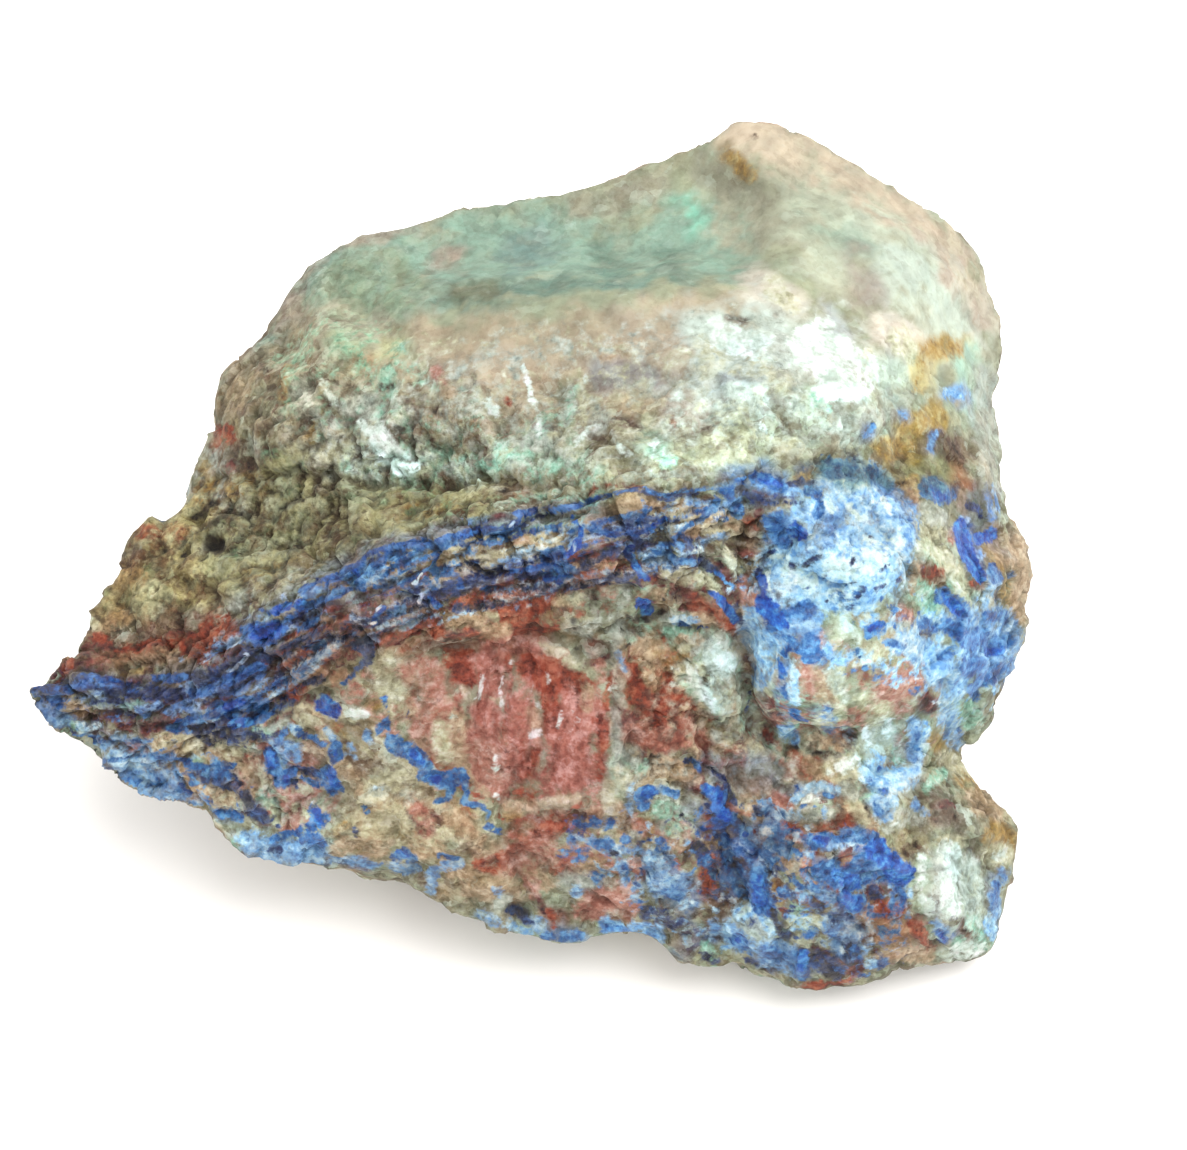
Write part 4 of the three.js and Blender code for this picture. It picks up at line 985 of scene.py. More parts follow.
    "bright_azurite": drawn("""
.5@.9: 27.6,61 28.6,60.7 / 27.1,75.4 27.2,76.4 / 41.3,75.4 42.2,76.2
.3@.7: 29.8,60.6 30.4,60.5 / 33.4,75 33.5,75.6 / 88.2,79.1 / 73.8,94
.7@.5: 25.6,63.2 27.8,62.9
.4@.8: 37.5,62.2 37.9,61.4 38.2,60.9 / 63.2,54.7 / 42.8,77.8 44,77.8
.22@.8: 43,59.8 44,60.6
.25@.9: 57.2,51.7 57.5,52.5
.45@.9: 57.8,53 58,53.8 57.6,54.6
.3@.9: 57.2,55 56.5,55.5
.55@.9: 54.8,57.8 55.6,58 / 97,56 97.9,57.6
.4@.7: 55.4,56.6 56.4,57.2 / 23.2,72.4 25,72.1 / 31.6,81.2 31.8,82 / 40,85.4 40.7,85.6
.6@1: 63,55.4 63.5,56
.5@1: 64.1,57.3 64.6,57.9
.7@1: 64,60.5 64.7,61.1
.35@.9: 65.4,52.5 66,52.2 66.7,51.8
.4@.9: 70.9,59.1 71.8,60 72.8,61 73.5,62
.25@.7: 35.6,57 35.9,57.6
.3@.6: 46.4,53.7 48,53.3
.4@.5: 22.6,70.7 24.2,70.2 / 77.9,66.6 78,67.4
.5@.7: 76,47.6 77.6,48.2 / 64.6,79.6 65.2,79 / 80.4,95.4 80,96.8
.7@.8: 79.2,52.8 79.9,53.4
1.0@.7: 76.4,60.4 77.6,61.8
.5@.6: 76.1,58 76.4,59.4 / 87.2,62.8 88,62.4
.7@.7: 77.8,61.8 78.2,62.6 / 75.7,88 76.2,90
.7@.9: 95.9,52.6 96.4,54 96.8,55.4
.65@1: 97.9,54.1 99.2,53.3
.6@.7: 95,60 96,60.8 / 81.8,84 82.4,84.2
.4@.6: 94.4,59.4 / 74.6,83.5
.5@.5: 93.4,49.2 94.2,49.6
.5@.4: 98.8,65.4 100,65
.5@.8: 70.6,79 71.8,79.6
.6@.6: 71.6,80.6 72.4,81.4 / 84.8,90 85.6,90.2
.8@.95: 32.3,70.4 33.7,71.1
.6@.8: 33.2,77.4 33.6,78.6
.35@.8: 28.4,77.8
.35@.6: 38.3,70
1.1@.8: 87.7,84.8 88.6,86 90.2,87.4
.8@.7: 84,87.4 85.2,88
.3@.8: 93.9,93.5 94.3,94
"""),
    # painted pit shade: near-black strokes laid in the pits and cracks, where shade falls
    "painted_pit_shade": drawn("""
.9@.7: 21.2,54.4 21.8,54.8
.4@.7: 18.6,55.6
.35@.6: 16.4,55.2
.3@.6: 19.2,51.8 21.4,50.2
.25@.6: 20.5,53 23,51 / 77.4,91 77.9,93
.2@.4: 28,50.7 30,50 / 23,52 24,51.4
.3@.3: 12.2,55.4
.35@.8: 57.2,61.9 57.4,62.4
.22@.6: 55.8,60.8 56.4,61.2 / 76,52.4
.35@.9: 63.6,62 65,62.1 65.8,61.6 66.4,61
.22@.8: 62.4,61.4 62.9,61.8
.18@.7: 41,58.4 41.3,59 / 62.2,65.2 63,64.3
.15@.6: 29,54.8 30.2,55 / 66.4,60.1
.2@.6: 13.6,72.3 14.6,72.3
.2@.5: 27,70.9 28,71.2 / 84.4,73.2 85.6,73.6 / 65.4,75.6 66,75.6 / 81.6,75.2 83,75 / 85.2,78.6
.25@.8: 78.2,75 79.6,74.9
.2@.7: 63.6,83.4 / 57.6,64.8 58,65.4
.3@.8: 51.5,91 52.3,91.7
.22@.5: 86.4,80.2 87,81.4
.3@.5: 82.6,97.6 84,97.4
"""),
    # painted glints: tiny white-cyan specks of painted highlight on the vein's crystals
    "painted_glint": drawn("""
.1: 15.2,59.4
.22@1: 24.1,66.3 24.5,65.8 24.8,65.5
.14@.8: 23.2,67.2 23.8,66.8 / 50.8,52.7 51.4,52.4
.16@.8: 25.3,65.9
.25@1: 41.2,58.3 41.6,58.3
.16@1: 41.8,57.9 42.1,57.4
.25@.9: 42,60.1 42.3,59.5
.2@.9: 37.8,61 38.1,60.7
.16@.9: 37.2,62.3 37.6,62.3
.12@.7: 52.4,52.8 52.9,52.6 / 56.5,55.5 / 72.4,52
.14@.9: 57.2,55 57.5,54.4
.14@.7: 15.2,59.6
.15@.8: 87,50
.12@.6: 76.6,58.4 76.8,57.8
"""),
}

# Flecks scattered thinly through a region, with brushes 'half width @ how thickly'
FLECKS = {
    "azurite": drawn("""
2.4@-.7: 5,71 12,71 20,70 26,67 32,63
2.6@-.8: 36,60 44,58 52,56 60,54 70,54
3@-.5: 60,84 66,88
3@-.7: 80,62 88,64 94,66
4@-.4: 74,84 82,88 86,93
2.4@-.5: 12,75 22,79
"""),
    "navy": drawn("""
2.6@-.6: 5,70 14,71 22,70 30,65 / 36,61 44,59 54,56 66,55
3@-.55: 70,84 80,92
"""),
    "wine": drawn("""
3@-.4: 8,66 16,72 26,70
3.4@-.35: 34,62 44,60 54,57 64,56 72,58
2.6@-.4: 64,68 67,74
3@-.5: 72,76 74,84 / 84,92 90,93
"""),
    "umber": drawn("""
6@-.4: 15,57 24,53 34,49 44,50
4@-.5: 28,44 40,43
4@-.55: 62,84 70,88
4@-.45: 80,75 88,82
3@-.55: 14,66 24,66
"""),
    "cream": drawn("""
5@-.5: 22,55 34,50 44,48
2.6@-.45: 40,57 50,55 62,53 70,54
3@-.5: 36,80 44,82
2.6@-.5: 18,74 28,80
4@-.55: 72,70 76,78
5@-.6: 46,40 60,40 72,40
"""),
    "pale_blue": drawn("""
3@-.5: 22,68 30,64
2.6@-.6: 40,60 50,57 66,54
4@-.5: 78,60 90,64 96,66
4@-.6: 78,86 86,90
3@-.55: 64,86 70,90
"""),
    "red_oxide": drawn("""
3@-.5: 38,62 50,59 62,57
3@-.55: 26,67 30,72
4@-.5: 46,74 54,78
2.6@-.5: 64,66 68,72
3@-.6: 78,76 84,84
"""),
    "rose": drawn("""
3@-.4: 36,66 42,72
4@-.35: 48,72 56,74
2.6@-.5: 60,86 66,84
2.6@-.45: 26,77 31,80
4@-.5: 80,68 90,70
"""),
    "malachite": drawn("""
5@-.5: 34,38 44,46 54,48
2@-.6: 64,60 72,66
3@-.6: 78,72 86,76
"""),
    "ash": drawn("""
6@-.5: 22,52 32,50 44,46 / 52,40 64,40 76,38
4@-.6: 72,68 66,80
"""),
}

# ---- The plain rock between the minerals, brushed on in order ----
BRIGHT_ROOM = 0.64  # a colour under these lights looks brighter than it is by one over this


def srgb(*levels):
    """A colour as it looks on the lit stone, from 0 to 255, as the linear numbers that Blender uses."""
    screen = np.array(levels) / 255
    return BRIGHT_ROOM * np.where(screen < 0.04045, screen / 12.92, ((screen + 0.055) / 1.055) ** 2.4)


# Each tint as it looks on the lit stone
TINTS = {name: srgb(*levels) for name, levels in {
    "stone_grey": (164, 164, 140),
    "lichen_grey": (160, 166, 136),
    "warm_grey": (172, 160, 144),
    "ash_grey": (182, 188, 174),
    "lilac_grey": (156, 148, 150),
    "teal_grey": (116, 144, 134),
    "sea_green": (138, 168, 148),
    "deep_sea": (110, 140, 122),
    "turquoise": (138, 206, 178),
    "sage": (156, 152, 114),
    "dark_sage": (112, 118, 92),
    "pale_sage": (192, 198, 172),
    "pale_face": (210, 218, 194),
    "chalk_white": (226, 242, 230),
    "pale_mint": (178, 206, 180),
    "mint_white": (218, 236, 220),
    "pale_lime": (206, 216, 178),
    "cream_lime": (212, 210, 168),
    "cream_tan": (212, 194, 156),
    "cream_ochre": (208, 190, 134),
    "beige": (188, 170, 142),
    "putty": (192, 180, 148),
    "khaki": (158, 140, 92),
    "khaki_tan": (172, 150, 114),
    "olive_tan": (128, 108, 70),
    "dark_olive": (84, 76, 46),
    "ledge_brown": (96, 86, 52),
    "gold_olive": (158, 138, 60),
    "gold_brown": (150, 108, 44),
    "ochre": (172, 140, 68),
    "rust_tan": (170, 118, 82),
    "rust": (158, 84, 52),
    "orange_rust": (182, 76, 42),
    "brown_red": (128, 64, 44),
    "brick": (154, 70, 50),
    "russet": (104, 62, 44),
    "umber": (86, 62, 46),
    # painted shade, laid in a pit
    "dark_pit": (44, 36, 26),
    "wine": (102, 52, 52),
    "deep_rose": (168, 84, 68),
    "dusty_rose": (176, 112, 94),
    "rose_brown": (160, 112, 98),
    "rose_pink": (198, 144, 128),
    "pink_tan": (186, 146, 122),
    "peach_tan": (206, 168, 136),
    "peach_grey": (212, 194, 168),
    "peach_white": (228, 218, 200),
    "lilac_brown": (130, 104, 90),
    "lilac": (164, 150, 168),
    "plum": (88, 70, 96),
    "navy_blue": (48, 58, 104),
    "dusk_blue": (80, 90, 134),
    "deep_azure": (44, 74, 140),
    "azure": (64, 110, 178),
    "slate_blue": (94, 116, 162),
    "steel_azure": (104, 142, 190),
    "steel_sky": (136, 164, 202),
    "azure_sky": (108, 156, 212),
    "pale_sky": (166, 204, 228),
    "cyan_white": (196, 230, 234),
    "steel_white": (196, 206, 204),
    "pale_blue_white": (210, 226, 222),
}.items()}

# Brushes 'tint, half width, softness'. Some strokes paint shade: the darkest brown in the pit at 20.8,54.2,
# dark_olive in the groove at 19,51.8 and the pit at 18.8,55.4, umber and dark_olive under the dome's overhang
# from 79.6 to 85.6 across, and warm_grey on the top basin's shaded right rim at 75.6,19 to 76.6,22.6. The
# chalk white at 71 to 85.6 across is partly a painted highlight where the upper face catches the light.
GROUND = """
stone_grey 7 5: 27,38 30,31 40,26
warm_grey 2.6 3: 24,36 28,31 33,26 40,23.4
beige 2 3: 22.6,40 24,37
teal_grey 1.2 2: 26.6,35 27.6,32.8
khaki_tan 1 1.6: 31,34 31.6,31.6
beige 4.4 3: 44,37 54,36.4 64,34.6 72,33.6
beige 3 3: 46,41 56,41 66,38
sea_green 4 2.4: 34,28.6 42,27.4 50,25.4
sea_green 4.4 2.4: 48,25.2 56,24 66,23.6 72,23.6
warm_grey 0.8 2: 43.4,26.2 45.6,25.6
lichen_grey 1 2: 60,22.6 64,21.6
teal_grey 1.8 2: 51.6,25.4 54,24
deep_sea 0.9 1.6: 44,29.4 50,28.9 58,28.2 66,27.6 74,27
deep_sea 0.9 1.6: 66.4,25 68.4,25.6
deep_sea 0.8 1.4: 60,25.6 62.6,26.4
dark_sage 0.7 1.4: 46,29.4 49.6,29
stone_grey 1.6 2: 58,20.4 66,18
turquoise 1.0 2.4: 69.3,20.4 70,23.4
sea_green 2.4 2: 71.4,25.4 74,24.4
pale_sage 1 2: 73,23.2
stone_grey 2 2.4: 71,17.6 74.6,20
warm_grey 1.2 2.4: 75.6,19 76.6,22.6
stone_grey 7 6: 80,20 90,26 95,33
pale_sage 4 4: 83,20 90,24 94,30
pale_face 3.4 4: 87,23 93,29 96,34
sea_green 0.9 3: 82,23 86,25
warm_grey 1.4 3: 85,26.6 86.6,29.6
pale_sage 1.6 3: 81,25 83,28
peach_grey 1.3 2.4: 80,15 88,19.6 94,23.4 98.4,32
peach_grey 2.4 2: 74.6,13.4 79,15
olive_tan 0.8 1.6: 73,15.6 75,17.4
ash_grey 2.4 2: 33,33 40,35.4
pale_mint 1.6 1.6: 34,33.6 35.4,35
beige 1.6 2: 36.6,36.6 40,37.4 43,33.4
pale_lime 1 1.4: 38.8,34.8 40.2,34.4
rust 0.4 1: 28.6,37.4 28.4,39.6
mint_white 1.4 1.2: 30.2,38.8 30.8,40.8
gold_olive 0.5 1: 31.4,43.6 32.8,38.8
pale_mint 1.1 1: 38.4,37.6 38.8,39.2
ash_grey 1.8 1.6: 34.6,39.6 37,41.4
olive_tan 1.5 1.4: 41,39.8 42.4,42.6 43.4,44.6
dark_olive 0.6 0.8: 41,40.4 41.6,42.4
mint_white 1.6 1.4: 37.4,42.6 39.2,45 41.4,46.6
dark_olive 0.5 0.8: 41.8,43.4 42.6,45
rose_brown 0.7 1: 43.9,37.2 44.4,38
khaki_tan 1.4 2: 44.4,40.6 47,43.6
olive_tan 0.7 1.2: 56.6,38.6 55.6,42.4
steel_white 0.9 1: 52.6,44.6 54,43.2
steel_white 0.6 1: 57.8,44.6 60,42.6
lilac_grey 1.6 2: 60.6,38 66,38.4
cream_tan 1.2 2: 62,41 66,40.6
umber 0.7 1: 61.6,42.8 63.6,42.8
pale_sage 2 2: 76,44.6 81,44.6
sage 2 2: 45,47 52,47 60,46.2
pale_mint 1 1: 47.6,46.6 53,45.8 57.6,46.2
pale_mint 1.6 1.2: 65,44.6 67,46
cream_lime 1.8 1.6: 60.4,48.2 66,47.4 70,45.6 74,44.6
warm_grey 2.4 2.4: 68,41 71,40.6
peach_white 2 2.4: 76.4,29 79,30.6
chalk_white 2 4: 71,33.6 76,35.4
pale_face 2.4 2.4: 72,37 80,39
steel_white 2.2 2: 73,39 76.8,39.6
pale_face 2.4 2: 77.6,36 79,39.6
chalk_white 3.4 5: 78.4,34.8 82.4,35.6 85.6,38.4
steel_white 1.2 1.6: 82.6,31.8 84.6,33.4
pale_mint 1.4 1.6: 81.4,39.8 82.8,40.8
peach_white 1.8 2: 88.8,33.4 91.4,35
pale_face 2 2: 87,38 89.6,38.6
ash_grey 2 2.4: 83,42.6 88,42
cream_ochre 1.1 1.8: 92.4,38 92.4,35.6 95.8,34.8
ochre 0.7 1.2: 93.6,34.6 95.4,34.4
pale_mint 1.7 2: 96.6,36.6 97.4,39.8
steel_sky 0.9 1.2: 95.2,39 96.2,39.6
ochre 1.5 1.4: 90.8,42.6 94,41.8
gold_olive 1.4 1.2: 88.6,45.4 91,44.8
steel_sky 0.6 1: 90.2,41.5
dusk_blue 0.5 0.8: 92.8,44.8 93.8,43.6
umber 1.3 1: 95,44.4 96.4,45.8
ash_grey 1.3 1.6: 98.4,38 98.8,44 99,48
steel_sky 0.6 0.8: 86.8,43.4
rust_tan 0.9 0.8: 95.8,47.4 96.4,48.4
olive_tan 2.2 2: 21,50 24,44
lilac_brown 1.6 1.4: 21.6,45.4 24.4,46.6
rust 0.6 0.8: 21.6,43 22,44.8
khaki 0.8 0.8: 27,47.4 28.6,46.4 30,45.2
umber 0.8 0.7: 26,46.6 26.6,45.6
russet 0.7 0.8: 27.6,48 30,47.4 32,47.6
pink_tan 0.9 1: 23,48.8 25.4,47.6
khaki 1.4 1.4: 20.4,47.6 20,50
ledge_brown 2.8 2.4: 24,52.6 30,50.6 36,49.8 44,49.6
ledge_brown 2.6 2.4: 15,57 22,56 30,54 38,52.6
sage 1.5 1.4: 23,52.8 23.6,54.6
dark_olive 0.7 0.7: 19,51.8 21.6,50.6
dark_pit 0.8 0.6: 20.8,54.2 21.6,54.8
dark_olive 0.5 0.6: 18.8,55.4
peach_tan 1.1 0.9: 17,54 18,53.4
russet 0.6 0.6: 15.8,54.4 16.4,55.6
rust_tan 0.9 1: 13,56.6 14.6,54.4
pale_sage 0.8 0.7: 20.8,56.6 22.8,56.8
teal_grey 0.7 0.8: 23.4,55.8 24,56.2
cream_tan 0.8 0.8: 24.2,57.6 25.6,58.2
sage 1.6 1: 14.4,59 15.4,60.4
lilac_brown 1.1 1: 20,59.2 21.4,58.8
ledge_brown 0.9 0.8: 23.2,58.8 24,60
khaki 1.6 1.2: 26,59.6 30,57.4 35,55.8
sage 1.4 1.2: 28,53 31,52.4
ash_grey 0.9 0.8: 32,50 33.2,51
lilac_brown 1.4 1.2: 33.8,52 35,53.4
russet 0.6 0.6: 34.6,54.8 35.4,54.4
pale_mint 1.1 1: 35.6,49.4 37.4,50
dark_olive 0.7 0.8: 35.4,52.4 36,53.6
cream_tan 1.4 1: 38,52.6 39.6,52
khaki 1.2 1: 42,51.4 46,50.4
pink_tan 1 1: 49,49.6 52,49.6
lilac_brown 1.8 1.6: 10,62.4 14,62.6 19,61.6
peach_grey 0.5 0.6: 9.2,61.8 10.2,62.6
russet 1.2 1: 8.6,64.6 11,64
rust_tan 1.3 1: 5.6,67.6 7.4,65.6
russet 0.5 0.6: 9,65.2 13,64.6 16,63.6 20,63.8
brown_red 1.5 1: 18,64.8 21.6,64.6
rust 1.4 1: 20.6,62.8 22.6,63.4
pink_tan 0.8 0.8: 22,61.2 23.2,62
wine 0.7 0.8: 23.8,64.8 24.2,65.8
khaki_tan 1.0 0.9: 11,66.4 15,65.8 17.6,65.4
sage 0.6 0.6: 17.6,66 19,66.2
gold_brown 0.5 0.6: 12.6,67.2 15,67.2
brown_red 0.9 0.8: 20,66 22.4,66
olive_tan 0.8 0.8: 6.6,67 9,66.6
navy_blue 1.1 0.9: 6,68.6 12,68.6 18,68.6 23,67.4
azure 0.5 0.6: 5.8,69.6 6.2,70.6
steel_sky 0.9 0.8: 4,70 4.6,71.6
rose_brown 0.8 0.6: 7.4,70.4 8,71
plum 1.2 1: 10.6,71.6 14,72 18,72
lilac_brown 0.9 0.8: 16,70.8 20.4,70
azure 1.2 1: 22.4,70.8 26,70.2
navy_blue 1.0 0.8: 20,73 24,72.8 27,72.2
khaki_tan 0.9 0.8: 26.4,68 27.6,68.8
rust 0.9 0.7: 28.6,68.6 29.6,69.2
pink_tan 1.2 1: 27.4,66 31.6,66.6
rose_brown 1.0 1: 31,64.8 34.4,65
azure 1.4 0.9: 24.6,64.4 27.4,62.8
steel_sky 0.9 0.9: 8,72.8 10.4,74
steel_sky 2.0 1.6: 11,75.6 14.6,76.8 17,79
slate_blue 0.8 0.8: 10.6,77 12.4,78.6
lilac 0.9 0.9: 12,74.2 14.2,74.8
cream_tan 0.8 0.6: 15.8,74.5 18.6,74.5 20,74.9
cream_tan 0.9 0.7: 21.2,75.6 23.4,75.6
brown_red 0.7 0.6: 24.8,76 25.8,76.8
peach_tan 0.9 0.8: 24.6,77.4 26.4,78.4
slate_blue 0.5 0.5: 15.6,75.7 19,76.4 22,77
dusk_blue 1.1 0.8: 20.6,77.5 23.4,78
khaki_tan 0.9 0.8: 17.6,77.2 19,78.2
peach_tan 0.9 0.8: 19.8,79.4 23,80
slate_blue 0.7 0.7: 21.4,81 23.6,81.6
dusk_blue 0.9 0.8: 24.6,80.6 26.6,82
sage 0.8 0.8: 20.6,82.4 22.6,83.8
steel_white 0.7 0.8: 23.4,83.6 25,84.4
slate_blue 1.2 1: 25.6,85 28.4,85.4
steel_azure 1.4 0.9: 30,85.6 32,85.2
teal_grey 0.7 0.6: 27,79.4 27.6,80.2
pale_sage 0.6 0.6: 27.4,81 28,82
rose_pink 1.2 0.8: 29.4,79.6 30.6,78.8
rose_pink 0.9 0.7: 29,82.4 29.8,81.6
azure 0.8 0.7: 27,75 27.2,77 28.6,78
slate_blue 0.8 0.7: 28.8,74.8 29.4,75.8
rose_pink 0.9 0.6: 31,75 31.8,75.8
pale_sage 0.8 0.7: 25.6,72.6 27.6,72.6
cream_tan 1.0 0.8: 30.6,71.4 32.6,72.4
khaki_tan 1.6 1.2: 34.4,72.4 37,72.4
cream_tan 0.5 0.5: 34.8,70.6 35.8,71.4
olive_tan 0.6 0.6: 36.4,69.8 37.6,70.8
cream_tan 0.5 0.5: 35.6,68.9 37.4,68.7
khaki_tan 3.4 2: 36,76 38,81 44,83
pale_sage 1.5 1: 38,77.6 40,78.4
cream_tan 1.2 1: 37,82.4 39.4,82.4
rose_brown 1.1 1: 41.6,81 43.6,83
rust_tan 0.9 1: 45.6,80.6 47,82.6
khaki 1.0 1: 35,84.6 40,84.4
slate_blue 0.6 0.7: 31,86.2 34,86.2 37,86.6
khaki_tan 1.8 1.4: 45,88 50,88 54,87.4
sage 1.4 1: 38,66.4 39,70
pink_tan 2.2 1.6: 42,67 43,71 44.4,74.6
rose_brown 0.9 1: 41.6,70.6 42.2,73
sage 0.9 0.9: 43.6,73 44.6,75.4
dusty_rose 1 0.7: 41,64.6 48,63.8 54,63.6
cream_tan 0.4 0.4: 48.8,63 51,62.6
orange_rust 1.2 0.7: 46.2,66 46.6,67.4
dusty_rose 1.4 0.9: 49,66 49.6,68.6
orange_rust 1.7 0.8: 53.2,66.4 55,68.4
deep_rose 1.1 0.7: 57,67.8 57.6,69.4
rust 0.9 0.6: 55,70.6 54.6,72.6
rose_pink 1.9 1: 48.6,71.6 49,78
dusty_rose 1.2 0.8: 51.6,71 52,77
deep_rose 2.2 1: 56.6,72 57.4,77
rose_pink 0.8 0.7: 58.8,70 59,72.4
deep_rose 0.6 0.5: 60.2,72.4 60.4,77
pink_tan 1.0 0.7: 52,72 53.2,74
rust 0.5 0.5: 53.6,75 53.2,77
sage 1.1 0.8: 52,79.4 56,79.8
cream_tan 0.4 0.4: 55,79.8 57.6,80.2
brown_red 0.5 0.5: 51.4,82.2 56,81.6 60,81.4
deep_rose 1.5 0.9: 51.4,84.4 54.6,83.2
dusty_rose 1.3 0.9: 48.6,86.2 51.6,85.8
pink_tan 1.6 1: 56,86 59.6,85.4
sage 1.2 1: 59.4,86.2 61.4,85.4
lilac_grey 1.2 1: 57,87.8 59.6,88.4
dusty_rose 1.4 0.9: 59.6,90.4 63,90.4
rose_brown 1.0 0.9: 54.6,91 56,92
navy_blue 0.8 0.5: 51,90.6 52.6,91.8
pale_mint 0.7 0.6: 51.6,93 53.6,93.4
steel_azure 0.8 0.7: 55,93.4 58,93.4
khaki 1.3 0.9: 36,56.6 42,55.4 47,54.6
umber 0.8 0.7: 41,56.6 41.6,58.4
khaki 1.4 0.8: 50.6,55.2 54.4,54.6
cream_tan 0.6 0.6: 49,55 52,54.4
khaki_tan 1.2 0.8: 58.6,52 62.6,50.6
pink_tan 0.9 0.7: 64.6,51 66.4,51
wine 1.2 0.9: 33,61.4 38,62 42,61.6
rose_brown 1.1 0.9: 30.6,62.6 33.6,62
plum 1.1 0.9: 33,64.6 36,63.6
wine 1.2 0.8: 46,57.4 52,57.4 58,57
deep_rose 1.6 0.8: 48.6,60 52.6,60.4 54.4,59.4
deep_rose 0.6 0.6: 43.2,63.2 44,62.6
khaki_tan 1.0 0.7: 45.6,61.6 48.4,61.4
sage 1.7 0.9: 55.6,61.6 58.4,62.4
umber 0.35 0.4: 57.2,62.2
pale_sage 0.8 0.7: 55.6,65 57,65.8
dusty_rose 0.9 0.7: 59,64.6 60,66
wine 0.9 0.7: 60.6,55 62.6,54.6
plum 1.0 0.8: 63.6,53.6 65,54.4
slate_blue 1.3 1: 66,55.8 69.6,56.4
pale_sage 1.3 1: 56.6,58.4 61,58.6
cream_tan 0.9 0.7: 66.4,59.8 67.6,60.6
brown_red 0.9 0.6: 69,59.8 72,62
wine 0.9 0.7: 72,57 74,60.6
cream_tan 1.8 1: 68,52.4 72,52.6
peach_grey 0.8 0.7: 71.4,52 72.6,53.6
rose_brown 1.0 0.8: 75,51.4 75.2,55
pink_tan 1.0 0.8: 74.8,58 74.6,61
pale_mint 0.8 0.6: 67,62.8 70.6,63.2
sage 1.3 0.9: 62.6,62.6 63.6,65
ash_grey 0.7 0.5: 61.6,63 61.8,68 62,75
cream_tan 1.5 0.8: 64.4,65 65.6,68
pink_tan 0.9 0.8: 62.8,66 64,64.6
brown_red 0.9 0.6: 63.2,67.4 63.8,69.4
brick 1.6 0.8: 65.4,71 67,70.6
brick 0.8 0.6: 67,66.6 67.4,68
dusty_rose 1.3 0.8: 68,71.6 68.6,73.2
rose_brown 1.4 0.9: 63.2,72.6 65,74
wine 0.8 0.7: 63,73.6 66.6,74.4
mint_white 0.8 0.6: 68,67 69,69.6 70.8,71
steel_white 1.5 0.9: 70.4,65.6 73,64.8
pale_sage 1.5 1: 72.6,68.6 73,71.6
sage 0.9 0.8: 70.8,72.6 73,73.6
rose_brown 1.3 1: 70,74.6 71.4,76
khaki_tan 1.8 1.2: 63.4,77 68.4,77.2
pale_mint 0.9 0.7: 61.4,76.6 62,79.4
steel_sky 0.5 0.5: 63.2,78.4 63,80.6
rust_tan 1.4 0.9: 63,82 64.6,83.2
pale_mint 1.6 0.9: 67.4,81.4 68.6,82.6
dark_sage 0.6 0.5: 66,83 66.8,83.6
peach_tan 0.7 0.6: 70.4,80.6 70.6,83
navy_blue 1.2 0.7: 71.4,79 72.4,81.6
peach_tan 1.4 0.9: 73.6,77.4 75,79.6
navy_blue 0.7 0.6: 72,82.6 74.4,82.8
steel_azure 1.5 1: 74.4,84 78,84.6
brick 1.0 0.6: 70.8,86 71,89.4
plum 1.3 0.9: 73,86 74.6,87.4
steel_azure 2.2 1.2: 65.4,87 68.4,90
navy_blue 0.8 0.8: 65,92.2 69,92.6
slate_blue 1.3 1: 68.4,95 71.6,92.6
sage 1.1 0.9: 70.4,95.6 72.4,95.4
umber 1.1 0.9: 71.8,89.6 72.4,91
steel_white 1.2 0.8: 75,75.6 77.6,77.4
pink_tan 1.0 0.8: 75,73.4
warm_grey 1.6 0.9: 76,76.6 77,78.6
brown_red 0.9 0.6: 79.6,76.2 79.4,77.6
rust_tan 1.1 0.8: 81,76.8 82.4,77.4
umber 1.1 0.7: 78.2,79 78.6,81
rust 1.3 0.8: 78.8,82.8 81.4,83.4
steel_sky 0.9 0.6: 80,79 83.4,79
pale_mint 0.9 0.7: 80.6,81 83.4,80.8
peach_tan 0.9 0.7: 84.6,80.4 87,82.8
brown_red 0.8 0.6: 83.4,82.4 85,82
azure 1.8 1: 75.6,88 76.6,90
deep_azure 0.9 0.6: 78,91 78.6,93.4
rust_tan 0.6 0.5: 77.8,88 78,89.8
sage 1.6 0.9: 79.6,91.6 81.8,92
steel_white 1.3 0.9: 74,91.6 76.4,93
steel_azure 0.6 0.5: 73.6,94
slate_blue 1.5 1: 77,95.4 80.6,96.4
plum 1.2 0.8: 82,96 84,96.4
russet 0.8 0.6: 85.2,96 85.2,97.4
russet 0.4 0.4: 80,98.6 84,98.2
azure 2.3 1.2: 82.6,85.4 86,86.2 88.8,87
steel_azure 0.9 0.8: 83,88.6 84,90
dusk_blue 1.4 1: 84.6,91 85,93.6
plum 1.0 0.8: 87,89 89.6,89.4
peach_tan 0.7 0.6: 80,86 81,88.4
wine 0.5 0.5: 81.4,85.2 82.8,85.4
rust_tan 1.7 1: 88,91.6 89.4,93.6
rust 1.0 0.7: 88,91 89.4,91
rust 0.7 0.6: 91.4,92 92,93.6
peach_grey 0.9 0.8: 88.4,95.2 92.4,95.2
pale_mint 2.6 1.6: 93.4,87 94.4,91.6
pale_blue_white 1.3 1.2: 94.2,86.8 94.8,90.8
steel_azure 0.8 0.6: 94.4,93.2 95,93.6
lilac_grey 0.8 0.7: 96.2,92.2 96.4,93.6
mint_white 1.2 0.9: 95,95.6 98,94.8
pale_sage 1.2 1: 97.6,87.4 97.8,91.4
steel_sky 0.8 0.8: 99.6,88 99.4,93
sage 1.8 1.2: 88.6,83 91,85
steel_white 1.5 1: 84.6,76 88,75
steel_white 1.2 0.9: 88,72.8 89.4,74.6
warm_grey 0.9 0.7: 88.6,76 90.4,75.6
azure_sky 0.8 0.6: 91.8,72.6 91.6,76
pale_blue_white 0.9 0.6: 92.4,75 91.6,77.6 89.6,78.4
